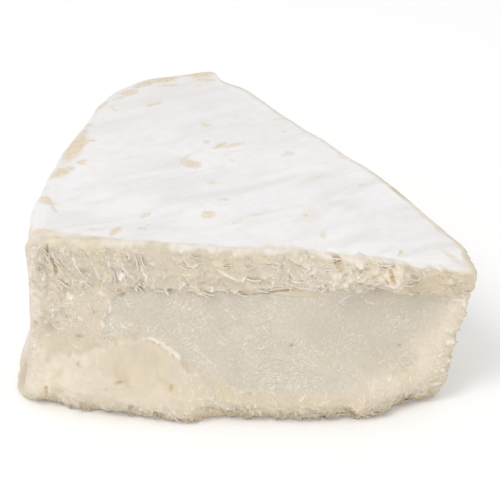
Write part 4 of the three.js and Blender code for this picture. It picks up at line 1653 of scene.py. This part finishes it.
def random_number(n, low, high, seed):
    return n.add("FunctionNodeRandomValue", {2: low, 3: high, "Seed": seed}, data_type="FLOAT").outputs[1]


def lying(n, swing):
    """Flat on the calm skin, pointing along the knife's way, turned by up to swing radians."""
    upright = {"Vector": attribute(n, "calm_out")}
    upright = n.add("FunctionNodeAlignRotationToVector", upright, axis="Z").outputs[0]
    pointing = {"Rotation": upright, "Vector": attribute(n, "way")}
    pointing = n.add("FunctionNodeAlignRotationToVector", pointing, axis="X", pivot_axis="Z").outputs[0]
    bend = n.math("MULTIPLY", random_number(n, -1.0, 1.0, seed=11), swing)
    bend = n.add("ShaderNodeCombineXYZ", {"Z": bend}).outputs[0]
    bend = n.add("FunctionNodeEulerToRotation", {0: bend}).outputs[0]
    both = {"Rotation": pointing, "Rotate By": bend}
    return n.add("FunctionNodeRotateRotation", both, rotation_space="LOCAL").outputs[0]


def sized(n, least, largest):
    """Sizes between the two, with many small ones and few large ones."""
    share = random_number(n, 0.0, 1.0, seed=12)
    share = n.math("MULTIPLY", share, share)
    return n.math("ADD", least, n.math("MULTIPLY", n.math("SUBTRACT", largest, least), share))


# %% Nodes that lay tongues or lips


def laying_nodes():
    group = laying_group()
    n = Nodes(group)
    given = n.add("NodeGroupInput").outputs
    density = n.math("MULTIPLY", attribute(n, given["Mark"], "FLOAT"), given["Per square metre"])
    scattering = {"Mesh": given["Skin"], "Density": density, "Seed": given["Seed"]}
    scattered = n.add("GeometryNodeDistributePointsOnFaces", scattering, distribute_method="RANDOM")
    kinds = n.add("GeometryNodeJoinGeometry")
    for letter in "CBA":  # a join puts its last link first
        one = n.add("GeometryNodeObjectInfo", {"Object": given["Tongue " + letter], "As Instance": True})
        group.links.new(one.outputs["Geometry"], kinds.inputs[0])
    kind = n.add("FunctionNodeRandomValue", {4: 0, 5: 2, "Seed": 13}, data_type="INT").outputs[2]
    laying = {
        "Points": scattered.outputs["Points"],
        "Instance": kinds.outputs[0],
        "Pick Instance": True,
        "Instance Index": kind,
        "Rotation": lying(n, given["Swing"]),
        "Scale": sized(n, given["Least size"], given["Largest size"]),
    }
    laid = n.add("GeometryNodeInstanceOnPoints", laying)
    real = n.add("GeometryNodeRealizeInstances", {"Geometry": laid.outputs[0]})
    painted = n.add("GeometryNodeSetMaterial", {"Geometry": real.outputs[0], "Material": given["Material"]})
    n.add("NodeGroupOutput", {"Flakes": painted.outputs[0]})
    return group


# %% Turn what the nodes lay into a plain mesh
LEAST_HEIGHT = 0.03  # mm, nothing that is laid dips into the floor


def lay(name, skin_mesh, group, values):
    """A plain mesh object of all that the nodes lay on a copy of the skin."""
    laid = bpy.data.objects.new(name, skin_mesh.copy())
    bpy.context.scene.collection.objects.link(laid)
    modifier = laid.modifiers.new("lay", "NODES")
    modifier.node_group = group
    for item in group.interface.items_tree:
        if item.in_out == "INPUT" and item.name in values:
            modifier[item.identifier] = values[item.name]
    evaluated = laid.evaluated_get(bpy.context.evaluated_depsgraph_get())
    plain = bpy.data.meshes.new_from_object(evaluated)
    laid.modifiers.clear()
    places = np.empty(3 * len(plain.vertices), np.float32)
    plain.vertices.foreach_get("co", places)
    places[2::3] = np.maximum(places[2::3], LEAST_HEIGHT * MM)
    plain.vertices.foreach_set("co", places)
    plain.update()
    spare = laid.data
    laid.data = plain
    bpy.data.meshes.remove(spare)
    plain.name = name
    print(name, "has", len(plain.polygons), "faces")
    return laid


# %% Lay the tongues and the lips
tongue_values = {
    "Tongue A": TONGUES[0],
    "Tongue B": TONGUES[1],
    "Tongue C": TONGUES[2],
    "Material": cheese,
    "Mark": "fringe",
    "Per square metre": 0.8e6,
    "Least size": 0.9,
    "Largest size": 2.6,
    "Swing": 0.5,
    "Seed": 4,
}
lip_values = {
    "Tongue A": LIPS[0],
    "Tongue B": LIPS[1],
    "Tongue C": LIPS[2],
    "Material": cheese,
    "Mark": "drape",
    "Per square metre": 0.21e6,
    "Least size": 1.6,
    "Largest size": 5.0,
    "Swing": 0.45,
    "Seed": 9,
}
lay_nodes = laying_nodes()
flakes = lay("torn_flakes", mesh, lay_nodes, tongue_values)
lips = lay("draped_lips", mesh, lay_nodes, lip_values)
for spare in TONGUES + LIPS:
    spare_mesh = spare.data
    bpy.data.objects.remove(spare)
    bpy.data.meshes.remove(spare_mesh)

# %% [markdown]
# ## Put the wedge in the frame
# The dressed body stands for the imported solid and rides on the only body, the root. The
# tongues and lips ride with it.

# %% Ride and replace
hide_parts("cheese_wedge")
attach(body, "root")
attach(flakes, "root")
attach(lips, "root")

bpy.context.view_layer.update()
